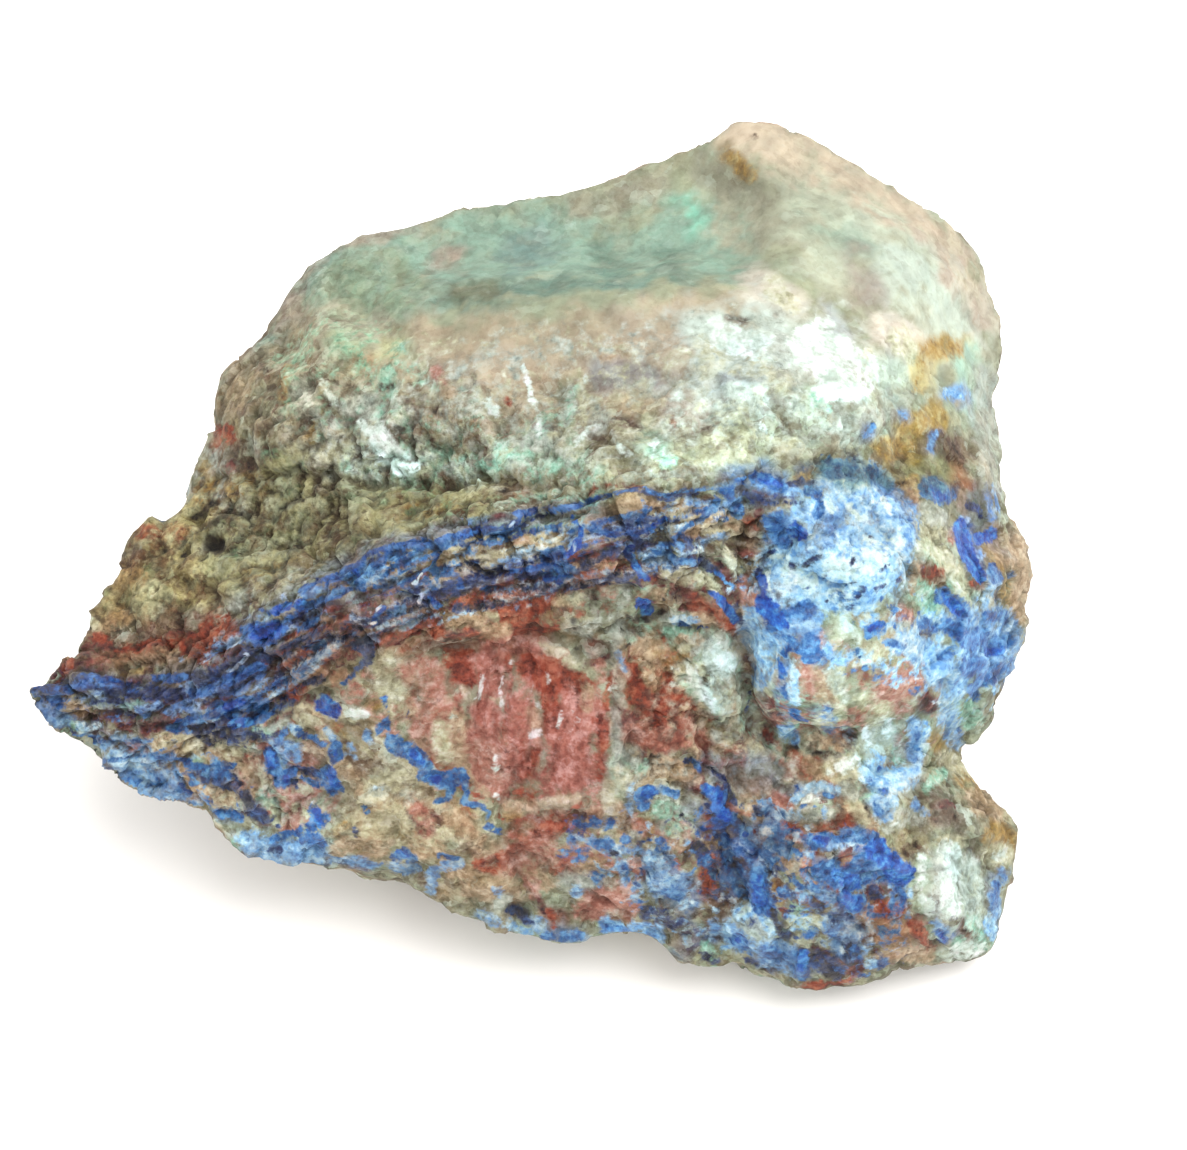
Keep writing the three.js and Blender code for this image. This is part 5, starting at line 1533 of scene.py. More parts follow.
azure_sky 1.1 0.8: 87.2,77.4 88,80
sage 1.9 1.2: 94,76 96,78
gold_olive 0.7 0.7: 93.4,73.4 94,74.4
dark_sage 1.3 1: 93.6,79 95.4,80
lilac_brown 1.1 0.9: 94,81.4 95.6,82.2
khaki_tan 1.8 1.2: 98,79.6 100,82
gold_olive 1.0 0.7: 99.6,83.2 101,83.6
pale_lime 0.9 0.7: 99.4,85.4 100,85.6
umber 1.0 0.8: 81,74.2 84,74.4
dark_olive 0.3 0.4: 79.6,73.8 85.6,73.2
olive_tan 0.9 0.8: 84.4,71.4 86,72
steel_sky 1.1 0.9: 82.2,71.6 83.6,73
sage 1.1 0.9: 87,70.6 89.4,71.4
azure_sky 0.9 0.7: 78.2,66.6 78.4,71.4
teal_grey 0.8 0.7: 78.4,73.2 79.2,73.8
steel_white 0.9 0.7: 76,65 76.6,68.4
brown_red 0.35 0.4: 74.4,65.4 74.4,67.6
plum 0.8 0.7: 76.6,71 77.4,72
wine 0.8 0.7: 75.4,73 77,74.4
rose_pink 1.2 0.9: 80.6,67.4 82,69
rose_brown 0.8 0.8: 82,68.6 82.6,69.6
cream_tan 1.6 1.2: 85.6,65 88,65.6
sage 1.0 0.9: 86.4,67.6 89.6,66.4
rose_pink 1.6 1: 89,69 91,68
plum 0.8 0.7: 92.2,70 93,70.6
pale_sky 1.5 1.2: 93.6,66 95,69
teal_grey 1.2 1: 97,70.6 96.6,72.6
azure_sky 2.4 1.4: 98,63 98.6,66
steel_azure 1.0 0.8: 93.6,62 96.4,62
azure_sky 1.2 0.9: 90.6,64 92.6,65
pale_mint 1.2 0.9: 92.4,59.4 93.2,60.6
cream_tan 1.4 1: 87,61.6 89,63
pale_lime 1.0 0.8: 84.4,61.6 84.8,64.4
lilac_grey 0.9 0.8: 90.2,61.4 91,62.4
olive_tan 1.2 1: 91.6,57.4 93.6,58
rust_tan 0.7 0.6: 92.8,57.4 94,57.8
pale_lime 0.8 0.7: 92.4,54.6 94.4,55.6 96.4,59
pale_sage 1.3 1: 92.4,52 94,52.6
slate_blue 1.1 0.7: 93,48.8 94.6,49.2
khaki_tan 0.7 0.6: 96,50 96.4,51
dark_sage 0.8 0.6: 97.8,50.6
steel_white 0.9 0.8: 99.4,49.4
azure 0.9 0.5: 96.6,53 97.6,57
khaki_tan 1.1 0.9: 99.8,53.6 100.2,57
peach_grey 1.0 0.8: 102,54 102.4,60
steel_sky 0.6 0.6: 99.2,57.6 99.4,59.6
azure_sky 1.5 1: 73,48.2 77.6,48
dusk_blue 0.9 0.8: 75,49.8 79,49.6
slate_blue 1.6 1: 81,47.6 85,47
azure_sky 1.6 1: 87.4,48.6 89.4,49.6
pale_sky 2.4 1.4: 80.6,52.6 84,52
azure_sky 1.8 1: 87,52 89,52
azure_sky 2.0 1: 78,54 78,59
cyan_white 3.4 1.6: 84,57 88,56
cyan_white 1.8 1.2: 81,60 84,59.6
cream_lime 1.3 1.4: 86,56.4 87.4,57
azure_sky 1.8 1: 77,61.4 79,62.6
slate_blue 1.3 0.9: 81,64 81.6,65.4
pale_sky 1.2 0.9: 75,62.6 76.4,64.6
"""


# Washes: a multiplier over rock and minerals alike, which lets through this share of each colour's light.
# They tint, and in places they paint light and shade: dusk is partly painted shade along the vein belt, and
# haze is partly painted light, as on the shaded ground under the dome's overhang
WASHES = {
    "dusk": (0.61, 0.66, 0.88),
    "iron": (0.86, 0.68, 0.6),
    "olive": (0.72, 0.69, 0.5),
    "rosy": (0.86, 0.88, 0.88),
    "ochre_dust": (0.97, 0.88, 0.76),
    "bleach": (1.0, 1.14, 1.22),
    "sky": (0.93, 1.12, 1.24),
    "haze": (1.25, 1.42, 1.48),
    "clay": (1.18, 1.13, 1.08),
    "straw": (0.96, 0.84, 0.54),
    "blush": (1.03, 0.86, 0.92),
    "mist": (0.92, 0.98, 1.06),
    "clear": (1.0, 1.0, 1.0),
}
# Brushes 'wash, half width, softness'
WASHED = """
ochre_dust 5 4: 26,40 32,35 38,32
rosy 2 2: 78,15 84,17
rosy 4 4: 80,20 86,22 92,26
olive 3 3: 26,48 29,48.4
straw 3 2.4: 16,53 20,52
mist 4 4: 46,35 54,33 62,34 74,38
rosy 4 3: 53,41 62,41
haze 2 2: 65,46.4 75,45
haze 3 2.4: 70,42 76,41.6 87,42.4
rosy 2.4 2: 71,32.8 74,31.6 78,27
rosy 3 2: 45,32.6 58,31.4
mist 3 3: 91,27 97,32
bleach 3 3: 90,38 95,40
straw 4 3: 12,59 19,57
olive 4.4 3: 25,54.4 30,52.6 38,51 46,50.6
haze 1.5 1.6: 36,46 42,46.6 50,46.6
iron 2 2: 5,66.4 12,65 18,64.4 23,63.4
dusk 2.6 2: 4,69.4 12,69.8 20,69 26,66.6
dusk 1.6 1.6: 8,70 16,70.4
iron 3 2.2: 30,64 36,61.4 44,58.6 52,57 60,56
clay 1.4 1.2: 37,57.2 42,56.6 47,55.6 52,54.6 58,53.2
dusk 0.9 1: 24,62.6 30,59 35,56 40,54.4 45,53.4 50,52.2 55,51.6 60,50.8
dusk 1.2 1.2: 20,67 26,64 31,61.4 40,60 45,59 50,57.6 55,56 60,54.4 64,53
iron 2.6 2: 38,63.6 46,62 55,61.4
iron 3.2 2.4: 64,68 67,71 70,74
haze 2 1.4: 72,57 73.6,58
iron 1.2 1.6: 74,61.6 75.4,66
sky 6 4: 78,52 84,57 84,63
haze 4.4 3: 80,69 88,68.6
haze 1.8 2: 79,73.4 84,73.6
clay 3 2: 83,76 89,74
clay 4 3: 77,77 84,78
clay 2.6 2.4: 83,86.6 88.6,86
bleach 2.4 2: 73,93 80,92
blush 5 3: 50,68 56,74 56,78
bleach 2 2: 71,66 73,71
dusk 2 2: 71,81 75,84
clay 4 3: 37,80 46,84
mist 3 2: 28,76 32,79
haze 2 1.6: 22,82 31,83.6
sky 3 3: 95,62 97,67
sky 3 2: 88,75 91,73
sky 2.4 2: 11,76 16,78
olive 2 2: 81,47.2 94,47.6
mist 3 2: 83,52.6 89,52.4
rosy 1.6 1.6: 86.6,52.4 88.6,53
dusk 2 2: 97,51 98,54
dusk 2 2: 72,77.4 78,77.4
iron 2.4 2: 76,82.4 78,84
iron 2 2: 87,92 89,93
iron 2 2: 31,66.8 34,66.6
haze 2 2: 61,92 64,93
iron 2 2: 71,86 73,88
bleach 2 2: 97,87 98,92
clay 2 2: 65,66 68,67
haze 2 2: 77,61.6 78,64
haze 2 2: 76,72 79,73
sky 2 2: 9,71.6 11,74
clay 3 2: 8,73 20,77
rosy 2 2: 62,40 63,44
clay 2 2: 46,62.6 50,62
clay 2 2: 71,52 74,54
iron 2 2: 66,73 68,73
clay 2 2: 16,76.6 19,78.4
"""
FADE_BY_SOFTNESS = 0.6  # each brush fades over this share of its softness, on both sides of its edge


def brushed(lines, colours, start, across, down, rag):
    """The colours that lines of brushwork leave at places on the board; rag breaks up the brushes' edges."""
    colour = np.tile(start, (len(across), 1))
    for brush, places in strokes_in(lines):
        name, width, soft = brush.split()
        width, soft = float(width), float(soft)
        (left, top), (right, bottom) = places.min(axis=0), places.max(axis=0)
        margin = width + 2 * soft
        near = np.flatnonzero((across > left - margin) & (across < right + margin)
                              & (down > top - margin) & (down < bottom + margin))
        depth = width - distance_to(places, across[near], down[near])
        fade = FADE_BY_SOFTNESS * soft
        cover = smooth_step(-fade, fade, depth + fade * rag[near])[:, None]
        colour[near] += cover * (colours[name] - colour[near])
    return colour


# ---- The stone's body ----
VEIN_CREST = np.array([
    [0, 69], [15, 69.2], [24, 65], [33, 59], [44, 54], [57, 51], [65, 49], [75, 47.8], [86, 47], [119, 47],
])
# The rock is layered from just over the crest to some way below it, and across the board as far as the
# dome. Each pair says where layers are none and where they are full, the first two as heights below the crest
BELT_HEAD = (-2.5, -1)
BELT_FOOT = (11, 7)
BELT_END = (82, 74)
# The red panel, whose fibres run down the board
PANEL_MIDDLE = (53, 72)
PANEL_RADIUS = 6
PANEL_STRETCH = 1.25  # its width over its height
PANEL_RIM = (2.5, -1)  # it fades in from outside its radius to inside
LAYER = (4.5, 0.75)  # how far noise is drawn out along a layer, and across it
FIBRE = (0.55, 4.5)  # and across a fibre, and along it

LARGE_CHIP, MIDDLE_CHIP, SMALL_CHIP = 4.6, 2.3, 1.1  # their sizes
LARGE_RELIEF, MIDDLE_RELIEF, SMALL_RELIEF = 0.55, 0.24, 0.09  # and how high they stand
GRIT_SIZE, GRIT_HEIGHT = 0.9, 0.03
LARGE_CREASE, MIDDLE_CREASE = 0.1, 0.06  # depths of the creases between chips
LARGE_CREASE_WIDTH, MIDDLE_CREASE_WIDTH = 0.6, 0.5
# The smaller chips are this strong, give or take the next, within a range, over patches of a size
SMALLER_USUAL, SMALLER_SWING, SMALLER_RANGE, SMALLER_PATCH = 0.9, 1.1, (0.05, 2), 7
# A drawn form begins this many half widths from its line, and has its full height this near to it
FORM_REACH, FORM_CROWN = 1.6, 0.2
FACING = (0.02, 0.3)  # the drawn side fades in as the skin turns to the board's eye
LUMP_SIZE, LUMP_HEIGHT = 6, 0.3
GROOVE_SIZE, GROOVE_DEPTH = 1.0, 0.45  # between layers and between fibres
FIBRE_SHARE = 0.7  # how deep fibres are for layers of 1
WARP_SIZE = 2.2  # of the noise that bends strokes and the chips' edges
STROKE_WARP, CHIP_WARP, SMALL_CHIP_WARP, FORM_WARP = 0.3, 0.3, 0.15, 0.4  # how far it bends them
REAR_BROKEN = 0.85  # how broken the hidden side is
DRAWN_BROKEN = 0.15  # what the drawn side has more, before its strokes
BROKEN_RANGE = (0.25, 1.8)
SWELL = 0.3  # what the smoothing took from the skin
LEVELLING = 9  # rounds of smoothing that give the level around each place
LEVELLING_SHARE = 0.8
CLEARLY_RAISED = 0.22  # above its level, a place counts as fully raised
FOOT_FADE = 1.6  # the relief fades to nothing over this height above the resting face


def crest_of(across):
    return np.interp(across, VEIN_CREST[:, 0], VEIN_CREST[:, 1])


def total_relief(forms, across, down):
    """The height of all forms at each place, each fading to nothing at its edge."""
    height = np.zeros(len(across))
    for width, rise, places in forms:
        reach, crown = FORM_REACH * width, FORM_CROWN * width
        (left, top), (right, bottom) = places.min(axis=0) - reach, places.max(axis=0) + reach
        near = np.flatnonzero((across > left) & (across < right) & (down > top) & (down < bottom))
        gap = distance_to(places, across[near], down[near])
        height[near] += rise * smooth_step(reach, crown, gap)
    return height


def where_layered(across, down, seen):
    """How much the rock is layered along the vein, and how much it is fibrous in the red panel."""
    below_crest = down - crest_of(across)
    layered = smooth_step(*BELT_HEAD, below_crest) * smooth_step(*BELT_FOOT, below_crest)
    layered = layered * smooth_step(*BELT_END, across)
    from_middle = np.hypot((across - PANEL_MIDDLE[0]) / PANEL_STRETCH, down - PANEL_MIDDLE[1])
    fibrous = smooth_step(*PANEL_RIM, from_middle - PANEL_RADIUS)
    return layered * seen, fibrous * seen


def flow_noise(points, across, down, layered, fibrous, size, seed, layers=3):
    """Noise that is drawn out along the vein's layers and down the red panel's fibres."""
    total = rough_noise(points, size, seed, layers)
    below_crest = down - crest_of(across)
    along = np.stack([across / LAYER[0], below_crest / LAYER[1], 0 * across], axis=1)
    upright = np.stack([across / FIBRE[0], down / FIBRE[1], 0 * down], axis=1)
    for share, flow in ((layered, along), (fibrous, upright)):
        there = np.flatnonzero(share > 0)
        drawn_out = rough_noise(flow[there], size, seed, layers)
        total[there] += share[there] * (drawn_out - total[there])
    return total


def chipped(points, warp):
    """The height of broken rock at each place, and how far the next chip is."""
    jagged = points + CHIP_WARP * warp
    large, large_gap = chips_of(jagged, LARGE_CHIP, seed=31)
    middle, gap = chips_of(jagged, MIDDLE_CHIP, seed=41)
    small, _ = chips_of(points + SMALL_CHIP_WARP * warp, SMALL_CHIP, seed=51)
    # In one place large chips rule, in the next small ones
    of_middle, of_small = (
        np.clip(SMALLER_USUAL + SMALLER_SWING * rough_noise(points, SMALLER_PATCH, seed), *SMALLER_RANGE)
        for seed in (63, 65))
    relief = LARGE_RELIEF * large + MIDDLE_RELIEF * of_middle * middle + SMALL_RELIEF * of_small * small
    relief += GRIT_HEIGHT * rough_noise(points, GRIT_SIZE, seed=61)
    relief -= (LARGE_CREASE * smooth_step(LARGE_CREASE_WIDTH, 0, large_gap)
               + MIDDLE_CREASE * of_middle * smooth_step(MIDDLE_CREASE_WIDTH, 0, gap))
    return relief, gap


def weathered_skin():
    """The skin with its chips, grit and drawn forms, how much of it faces the board's eye, how its
    strokes are bent, how broken it is, how far the next chip is, and how far each place stands out (1) or
    lies low (-1)."""
    points, triangles = skin_of_stone()
    normals = normals_of(points, triangles)
    across, down, _ = on_board(points)
    seen = smooth_step(*FACING, normals @ TO_EYE)
    layered, fibrous = where_layered(across, down, seen)
    warp = np.stack([rough_noise(points, WARP_SIZE, seed) for seed in (11, 21, 25)], axis=1)
    drawn_broken = DRAWN_BROKEN + total_relief(BROKEN, across, down)
    broken = np.clip(REAR_BROKEN + seen * drawn_broken, *BROKEN_RANGE)
    relief, gap = chipped(points, warp)
    lumps = LUMP_HEIGHT * rough_noise(points, LUMP_SIZE, seed=71) + SWELL
    flow = (points, across, down, layered, fibrous)
    grooved = layered + FIBRE_SHARE * fibrous
    grooves = GROOVE_DEPTH * grooved * flow_noise(*flow, GROOVE_SIZE, seed=81)
    bent = across + FORM_WARP * warp[:, 0], down + FORM_WARP * warp[:, 1]
    relief = broken * relief + grooves + seen * total_relief(RELIEF, *bent)
    level = relief[:, None]
    for _ in range(LEVELLING):
        level = relaxed(level, triangles, LEVELLING_SHARE)
    raised = np.clip((relief - level[:, 0]) / CLEARLY_RAISED, -1, 1)
    relief += lumps
    fading = smooth_step(0.0, FOOT_FADE, points[:, 2])  # the resting face stays flat
    points = points + (relief * fading)[:, None] * normals
    points[:, 2] = np.maximum(points[:, 2], 0)
    return points, triangles, seen, warp, broken, gap, raised


points, triangles, seen, warp, broken, chip_gap, raised = weathered_skin()
across, down, _ = on_board(points)
layered, fibrous = where_layered(across, down, seen)
flow = (points, across, down, layered, fibrous)

# Behind, the vein comes out again near the plane it runs in, and the rest is plain rock
VEIN_BACK, VEIN_LEAN, VEIN_HALF_WIDTH = 8, 0.12, 7
VEIN_WANDER, WANDER_SIZE = 3, 14
from_vein = points[:, 1] + VEIN_BACK + VEIN_LEAN * points[:, 0]
from_vein = np.abs(from_vein + VEIN_WANDER * rough_noise(points, WANDER_SIZE, seed=101)) / VEIN_HALF_WIDTH
# Behind, each mineral's usual cover, how much it keeps to the vein, and the size of its patches
REAR_SPREAD = {
    "limonite": (-0.7, 0, 9), "malachite": (-0.5, 0, 8), "umber": (-0.6, 0, 5), "wine": (-0.7, 0.5, 5),
    "red_oxide": (-0.6, 0.4, 7), "rose": (-0.8, 0.2, 7), "tan": (-0.45, 0, 8), "cream": (-0.6, 0, 6),
    "ash": (-0.4, 0, 7), "steel_blue": (-0.2, 1, 6), "pale_blue": (-0.5, 1, 5), "chalk": (-0.9, 0, 6),
    "navy": (-0.6, 1, 4), "azurite": (-0.2, 1, 4), "bright_azurite": (-0.7, 1, 3),
    "painted_pit_shade": (-1.3, 0, 1.6), "painted_glint": (-2, 0, 1),
}
# Patches of each tint behind: their size, their seed, and the noise that they start at
REAR_TINTS = (
    ("sea_green", 12, 201, 0.0), ("beige", 10, 211, 0.0), ("putty", 7, 221, 0.15),
    ("olive_tan", 8, 231, 0.1), ("lichen_grey", 6, 241, 0.15), ("pink_tan", 7, 251, 0.3),
    ("umber", 5, 261, 0.45),
)
REAR_FADE = (-0.15, 0.3)  # they fade in from this far below that noise to this far above it
# Mottles of each tint all round: their size, seed and starting noise again, and how strong they are
MOTTLES = (
    ("sea_green", 3.6, 301, 0.1, 0.3), ("pink_tan", 3.0, 311, 0.2, 0.3), ("putty", 2.4, 321, 0.1, 0.4),
    ("umber", 2.2, 341, 0.25, 0.45), ("dark_olive", 2.6, 351, 0.25, 0.4),
)
MOTTLE_FADE = 0.7
SHADE_SIZE, SHADE = 1.6, 0.14  # of noise that makes the plain rock lighter and darker
CREVICE_WIDTH, CREVICE_SHADE = 0.5, 0.2  # painted shade in the creases between chips: its width and strength
RAG_SIZE, FLECK_SIZE, FLECK_RAG = 1.8, 1.3, 1.1  # of the noise that makes strokes and flecks ragged
RAG_SEED, FLECK_SEED, REAR_SEED, SEED_STEP = 401, 405, 501, 10


def rear_colour(points):
    """The plain rock's colour away from the drawn side."""
    colour = np.tile(TINTS["lichen_grey"], (len(points), 1))
    for name, size, seed, start in REAR_TINTS:
        patches = rough_noise(points, size, seed, layers=4)
        cover = smooth_step(start + REAR_FADE[0], start + REAR_FADE[1], patches)
        colour += cover[:, None] * (TINTS[name] - colour)
    return colour


def mottled(colour):
    """The plain rock's colour, broken up by noise, with painted shade in the creases between its chips."""
    for name, size, seed, start, strength in MOTTLES:
        patches = flow_noise(*flow, size, seed)
        cover = strength * broken * smooth_step(start, start + MOTTLE_FADE, patches)
        colour = colour + cover[:, None] * (TINTS[name] - colour)
    shade = 1 + SHADE * flow_noise(*flow, SHADE_SIZE, seed=361)
    # painted shade in the creases between chips
    shade -= CREVICE_SHADE * broken * smooth_step(CREVICE_WIDTH, 0, chip_gap)
    return colour * shade[:, None]


def cover_of(number, name):
    """A mineral's cover: its strokes and flecks on the drawn side, and patches behind."""
    own_seed = SEED_STEP * number
    usual, keeping, size = REAR_SPREAD[name]
    behind = usual - keeping * from_vein + rough_noise(points, size, REAR_SEED + own_seed)
    front = cover_by(MINERALS[name], *bent)
    front += RAG[name] * flow_noise(*flow, RAG_SIZE, RAG_SEED + own_seed)
    if name in FLECKS:
        ragged = FLECK_RAG * flow_noise(*flow, FLECK_SIZE, FLECK_SEED + own_seed)
        front = np.maximum(front, cover_by(FLECKS[name], across, down) + ragged)
    return front * seen + behind * (1 - seen)


bent = across + STROKE_WARP * warp[:, 0], down + STROKE_WARP * warp[:, 1]
rear = rear_colour(points)
drawn_rock = brushed(GROUND, TINTS, TINTS["lichen_grey"], *bent, warp[:, 2])
ground = mottled(rear + seen[:, None] * (drawn_rock - rear))
tint_and_painted_light_wash = 1 + seen[:, None] * (brushed(WASHED, WASHES, WASHES["clear"], *bent, warp[:, 2]) - 1)
covers = {name: cover_of(number, name) for number, name in enumerate(MINERALS)}


# ---- Shaders ----
def node(tree, kind, inputs=(), **settings):
    """A shader node with its settings, and its inputs given as values or as sockets to join to."""
    made = tree.nodes.new(kind)
    for name, value in settings.items():
        setattr(made, name, value)
    for key, value in dict(inputs).items():
        if isinstance(value, bpy.types.NodeSocket):
            tree.links.new(value, made.inputs[key])
        else:
            made.inputs[key].default_value = value
    return made


def math_node(tree, operation, first, second=0.0, clamp=False):
    return node(tree, "ShaderNodeMath", {0: first, 1: second}, operation=operation,
                use_clamp=clamp).outputs[0]


def times(tree, first, second, clamp=False):
    return math_node(tree, "MULTIPLY", first, second, clamp)


def scaled(tree, vector, factor):
    return node(tree, "ShaderNodeVectorMath", {0: vector, 3: factor}, operation="SCALE").outputs[0]


def ranged(tree, value, low, high, start=0.0, end=1.0, **settings):
    """A value's place between low and high, as a number between start and end."""
    sockets = {0: value, 1: low, 2: high, 3: start, 4: end}
    return node(tree, "ShaderNodeMapRange", sockets, **settings).outputs[0]


def attribute(tree, name, output="Fac"):
    """What the stone's points carry under a name."""
    return node(tree, "ShaderNodeAttribute", attribute_name=name).outputs[output]


def blend(tree, share, first, second, mode="MIX"):
    mixer = node(tree, "ShaderNodeMix", {0: share, 6: first, 7: second}, data_type="RGBA", blend_type=mode)
    return mixer.outputs[2]


def blend_value(tree, share, first, second):
    return node(tree, "ShaderNodeMix", {0: share, 2: first, 3: second}, data_type="FLOAT").outputs[0]


def new_group(name, inputs, outputs):
    """A shader group, and its own inputs and outputs inside."""
    tree = bpy.data.node_groups.new(name, "ShaderNodeTree")
    for label, kind in inputs.items():
        tree.interface.new_socket(label, in_out="INPUT", socket_type="NodeSocket" + kind)
    for label, kind in outputs.items():
        tree.interface.new_socket(label, in_out="OUTPUT", socket_type="NodeSocket" + kind)
    return tree, tree.nodes.new("NodeGroupInput").outputs, tree.nodes.new("NodeGroupOutput").inputs


def fill_group(tree, group, inputs):
    return node(tree, "ShaderNodeGroup", inputs, node_tree=group).outputs


def new_material(name):
    """A material, and the shader that its surface has."""
    material = bpy.data.materials.new(name)
    material.use_nodes = True
    return material, material.node_tree.nodes["Principled BSDF"]


def colour_of(*levels):
    return (*srgb(*levels), 1)


def texture(tree, kind, given, settings):
    """The outputs of a texture that a group's own place and size set."""
    scale = math_node(tree, "DIVIDE", 1.0, given["Size"])
    return node(tree, "ShaderNodeTex" + kind, {"Vector": given["Place"], "Scale": scale, **settings}).outputs


COMMON_NOISE = (0.3, 0.7)  # most of a noise texture's values lie between these
THINNING = 0.25  # how much the crumbs thin a mineral out
# Where a noise of about -1 to 1 gives way from dark grains to middle ones, and from those to light ones
DARK_TO_MIDDLE, MIDDLE_TO_LIGHT = (-0.75, -0.05), (0.05, 0.8)
LOW_GRAIN = (0.42, 0.3)  # grain below the first begins to count as low, and below the second it fully is
# Each chip tint: from what share of the chips on, and how strong
CHIP_TINTS = (
    (0, "umber", 0.6), (0.12, "dark_olive", 0.55), (0.26, "russet", 0.3), (0.34, "sea_green", 0.25),
    (0.42, "beige", 0.0), (0.78, "putty", 0.3), (0.9, "pale_lime", 0.25), (0.96, "mint_white", 0.45),
)


def crumbs():
    """Three fine noises in millimetres, each about -1 to 1, for the edges and tones of the minerals."""
    names = ("First", "Second", "Third")
    tree, given, out = new_group(
        "crumbs", {"Place": "Vector", "Size": "Float"}, {name: "Float" for name in names})
    noise_colour = texture(tree, "Noise", given, {"Detail": 3.0, "Roughness": 0.6})["Color"]
    parts = node(tree, "ShaderNodeSeparateColor", {0: noise_colour}).outputs
    for part, name in zip(parts, names):
        tree.links.new(ranged(tree, part, *COMMON_NOISE, -1.0, 1.0), out[name])
    return tree


def ragged_patch():
    """How much a mineral covers the rock, with a crumbled edge."""
    tree, given, out = new_group(
        "ragged patch", {"Cover": "Float", "Crumb": "Float", "Rag": "Float", "Softness": "Float",
                         "Fullness": "Float"}, {"Mask": "Float"})
    cover = math_node(tree, "ADD", given["Cover"], times(tree, given["Crumb"], given["Rag"]))
    low = times(tree, given["Softness"], -1.0)
    patch = ranged(tree, cover, low, given["Softness"], interpolation_type="SMOOTHSTEP")
    thinned = math_node(tree, "ADD", given["Fullness"], times(tree, given["Crumb"], THINNING), True)
    tree.links.new(times(tree, patch, thinned), out["Mask"])
    return tree


def chip_colours():
    """Chips of broken rock, some of them with a tint of their own."""
    tree, given, out = new_group(
        "chip colours", {"Place": "Vector", "Size": "Float", "Share": "Float", "Plain": "Color"},
        {"Colour": "Color"})
    cells = texture(tree, "Voronoi", given, {})
    number = node(tree, "ShaderNodeSeparateColor", {0: cells["Color"]}).outputs[0]
    ramp = node(tree, "ShaderNodeValToRGB", {0: number})
    ramp.color_ramp.interpolation = "CONSTANT"
    stops = ramp.color_ramp.elements
    stops.remove(stops[1])
    for start, name, strength in CHIP_TINTS:
        stop = stops[0] if start == 0 else stops.new(start)
        stop.color = (*TINTS[name], strength)
    share = times(tree, ramp.outputs["Alpha"], given["Share"], True)
    tree.links.new(blend(tree, share, given["Plain"], ramp.outputs["Color"]), out["Colour"])
    return tree


def three_tones():
    """A mottled colour: dark, middle and light grains, by one noise."""
    tree, given, out = new_group(
        "three tones", {"Crumb": "Float", "Dark": "Color", "Middle": "Color", "Light": "Color"},
        {"Colour": "Color"})
    colour = given["Dark"]
    for limits, name in ((DARK_TO_MIDDLE, "Middle"), (MIDDLE_TO_LIGHT, "Light")):
        colour = blend(tree, ranged(tree, given["Crumb"], *limits), colour, given[name])
    tree.links.new(colour, out["Colour"])
    return tree


def crushed_grain():
    """The fine surface of broken rock, as a height and a mask of its low places, where shade is painted."""
    tree, given, out = new_group(
        "crushed grain", {"Place": "Vector", "Size": "Float"}, {"Height": "Float", "Low": "Float"})
    rough = texture(tree, "Noise", given, {"Detail": 4, "Roughness": 0.62})["Fac"]
    tree.links.new(rough, out["Height"])
    tree.links.new(ranged(tree, rough, *LOW_GRAIN), out["Low"])
    return tree


CRUMBS, PATCH, CHIPS = crumbs(), ragged_patch(), chip_colours()
TONES, GRAIN = three_tones(), crushed_grain()

# Each mineral's dark, middle and light grains, its edge's fine rag, its softness and how fully it covers
MINERAL_LOOKS = {
    "limonite": ((120, 88, 42), (168, 132, 66), (200, 176, 116), 0.5, 0.9, 0.7),
    "malachite": ((100, 152, 128), (158, 208, 182), (212, 240, 222), 0.6, 0.8, 0.75),
    "umber": ((48, 36, 28), (84, 62, 46), (124, 98, 78), 0.5, 0.8, 0.85),
    "wine": ((44, 20, 26), (92, 40, 38), (140, 84, 76), 0.6, 0.6, 0.85),
    "red_oxide": ((92, 38, 26), (150, 70, 46), (186, 116, 88), 0.6, 0.7, 0.9),
    "rose": ((140, 82, 68), (180, 122, 104), (222, 180, 166), 0.5, 0.9, 0.8),
    "tan": ((132, 108, 76), (178, 152, 120), (220, 200, 170), 0.5, 0.7, 0.75),
    "cream": ((160, 156, 122), (204, 202, 168), (234, 234, 210), 0.5, 0.8, 0.8),
    "ash": ((132, 140, 128), (178, 186, 172), (218, 224, 210), 0.5, 0.9, 0.75),
    "steel_blue": ((76, 112, 160), (120, 164, 206), (184, 212, 230), 0.6, 0.7, 0.85),
    "pale_blue": ((108, 158, 208), (166, 206, 230), (220, 240, 244), 0.6, 0.6, 0.9),
    "chalk": ((196, 214, 200), (228, 242, 232), (252, 255, 252), 0.6, 0.7, 0.9),
    "navy": ((20, 24, 46), (40, 52, 92), (70, 96, 144), 0.6, 0.5, 0.9),
    "azurite": ((26, 56, 112), (48, 102, 162), (108, 162, 208), 0.45, 0.4, 0.95),
    "bright_azurite": ((20, 50, 134), (34, 92, 180), (84, 156, 220), 0.4, 0.35, 0.97),
    # the near-black painted shade in pits and cracks
    "painted_pit_shade": ((30, 26, 24), (46, 40, 36), (76, 66, 58), 0.4, 0.6, 0.85),
    # painted glints, white specks of painted highlight
    "painted_glint": ((190, 226, 236), (228, 244, 250), (252, 255, 255), 0.1, 0.3, 1.0),
}


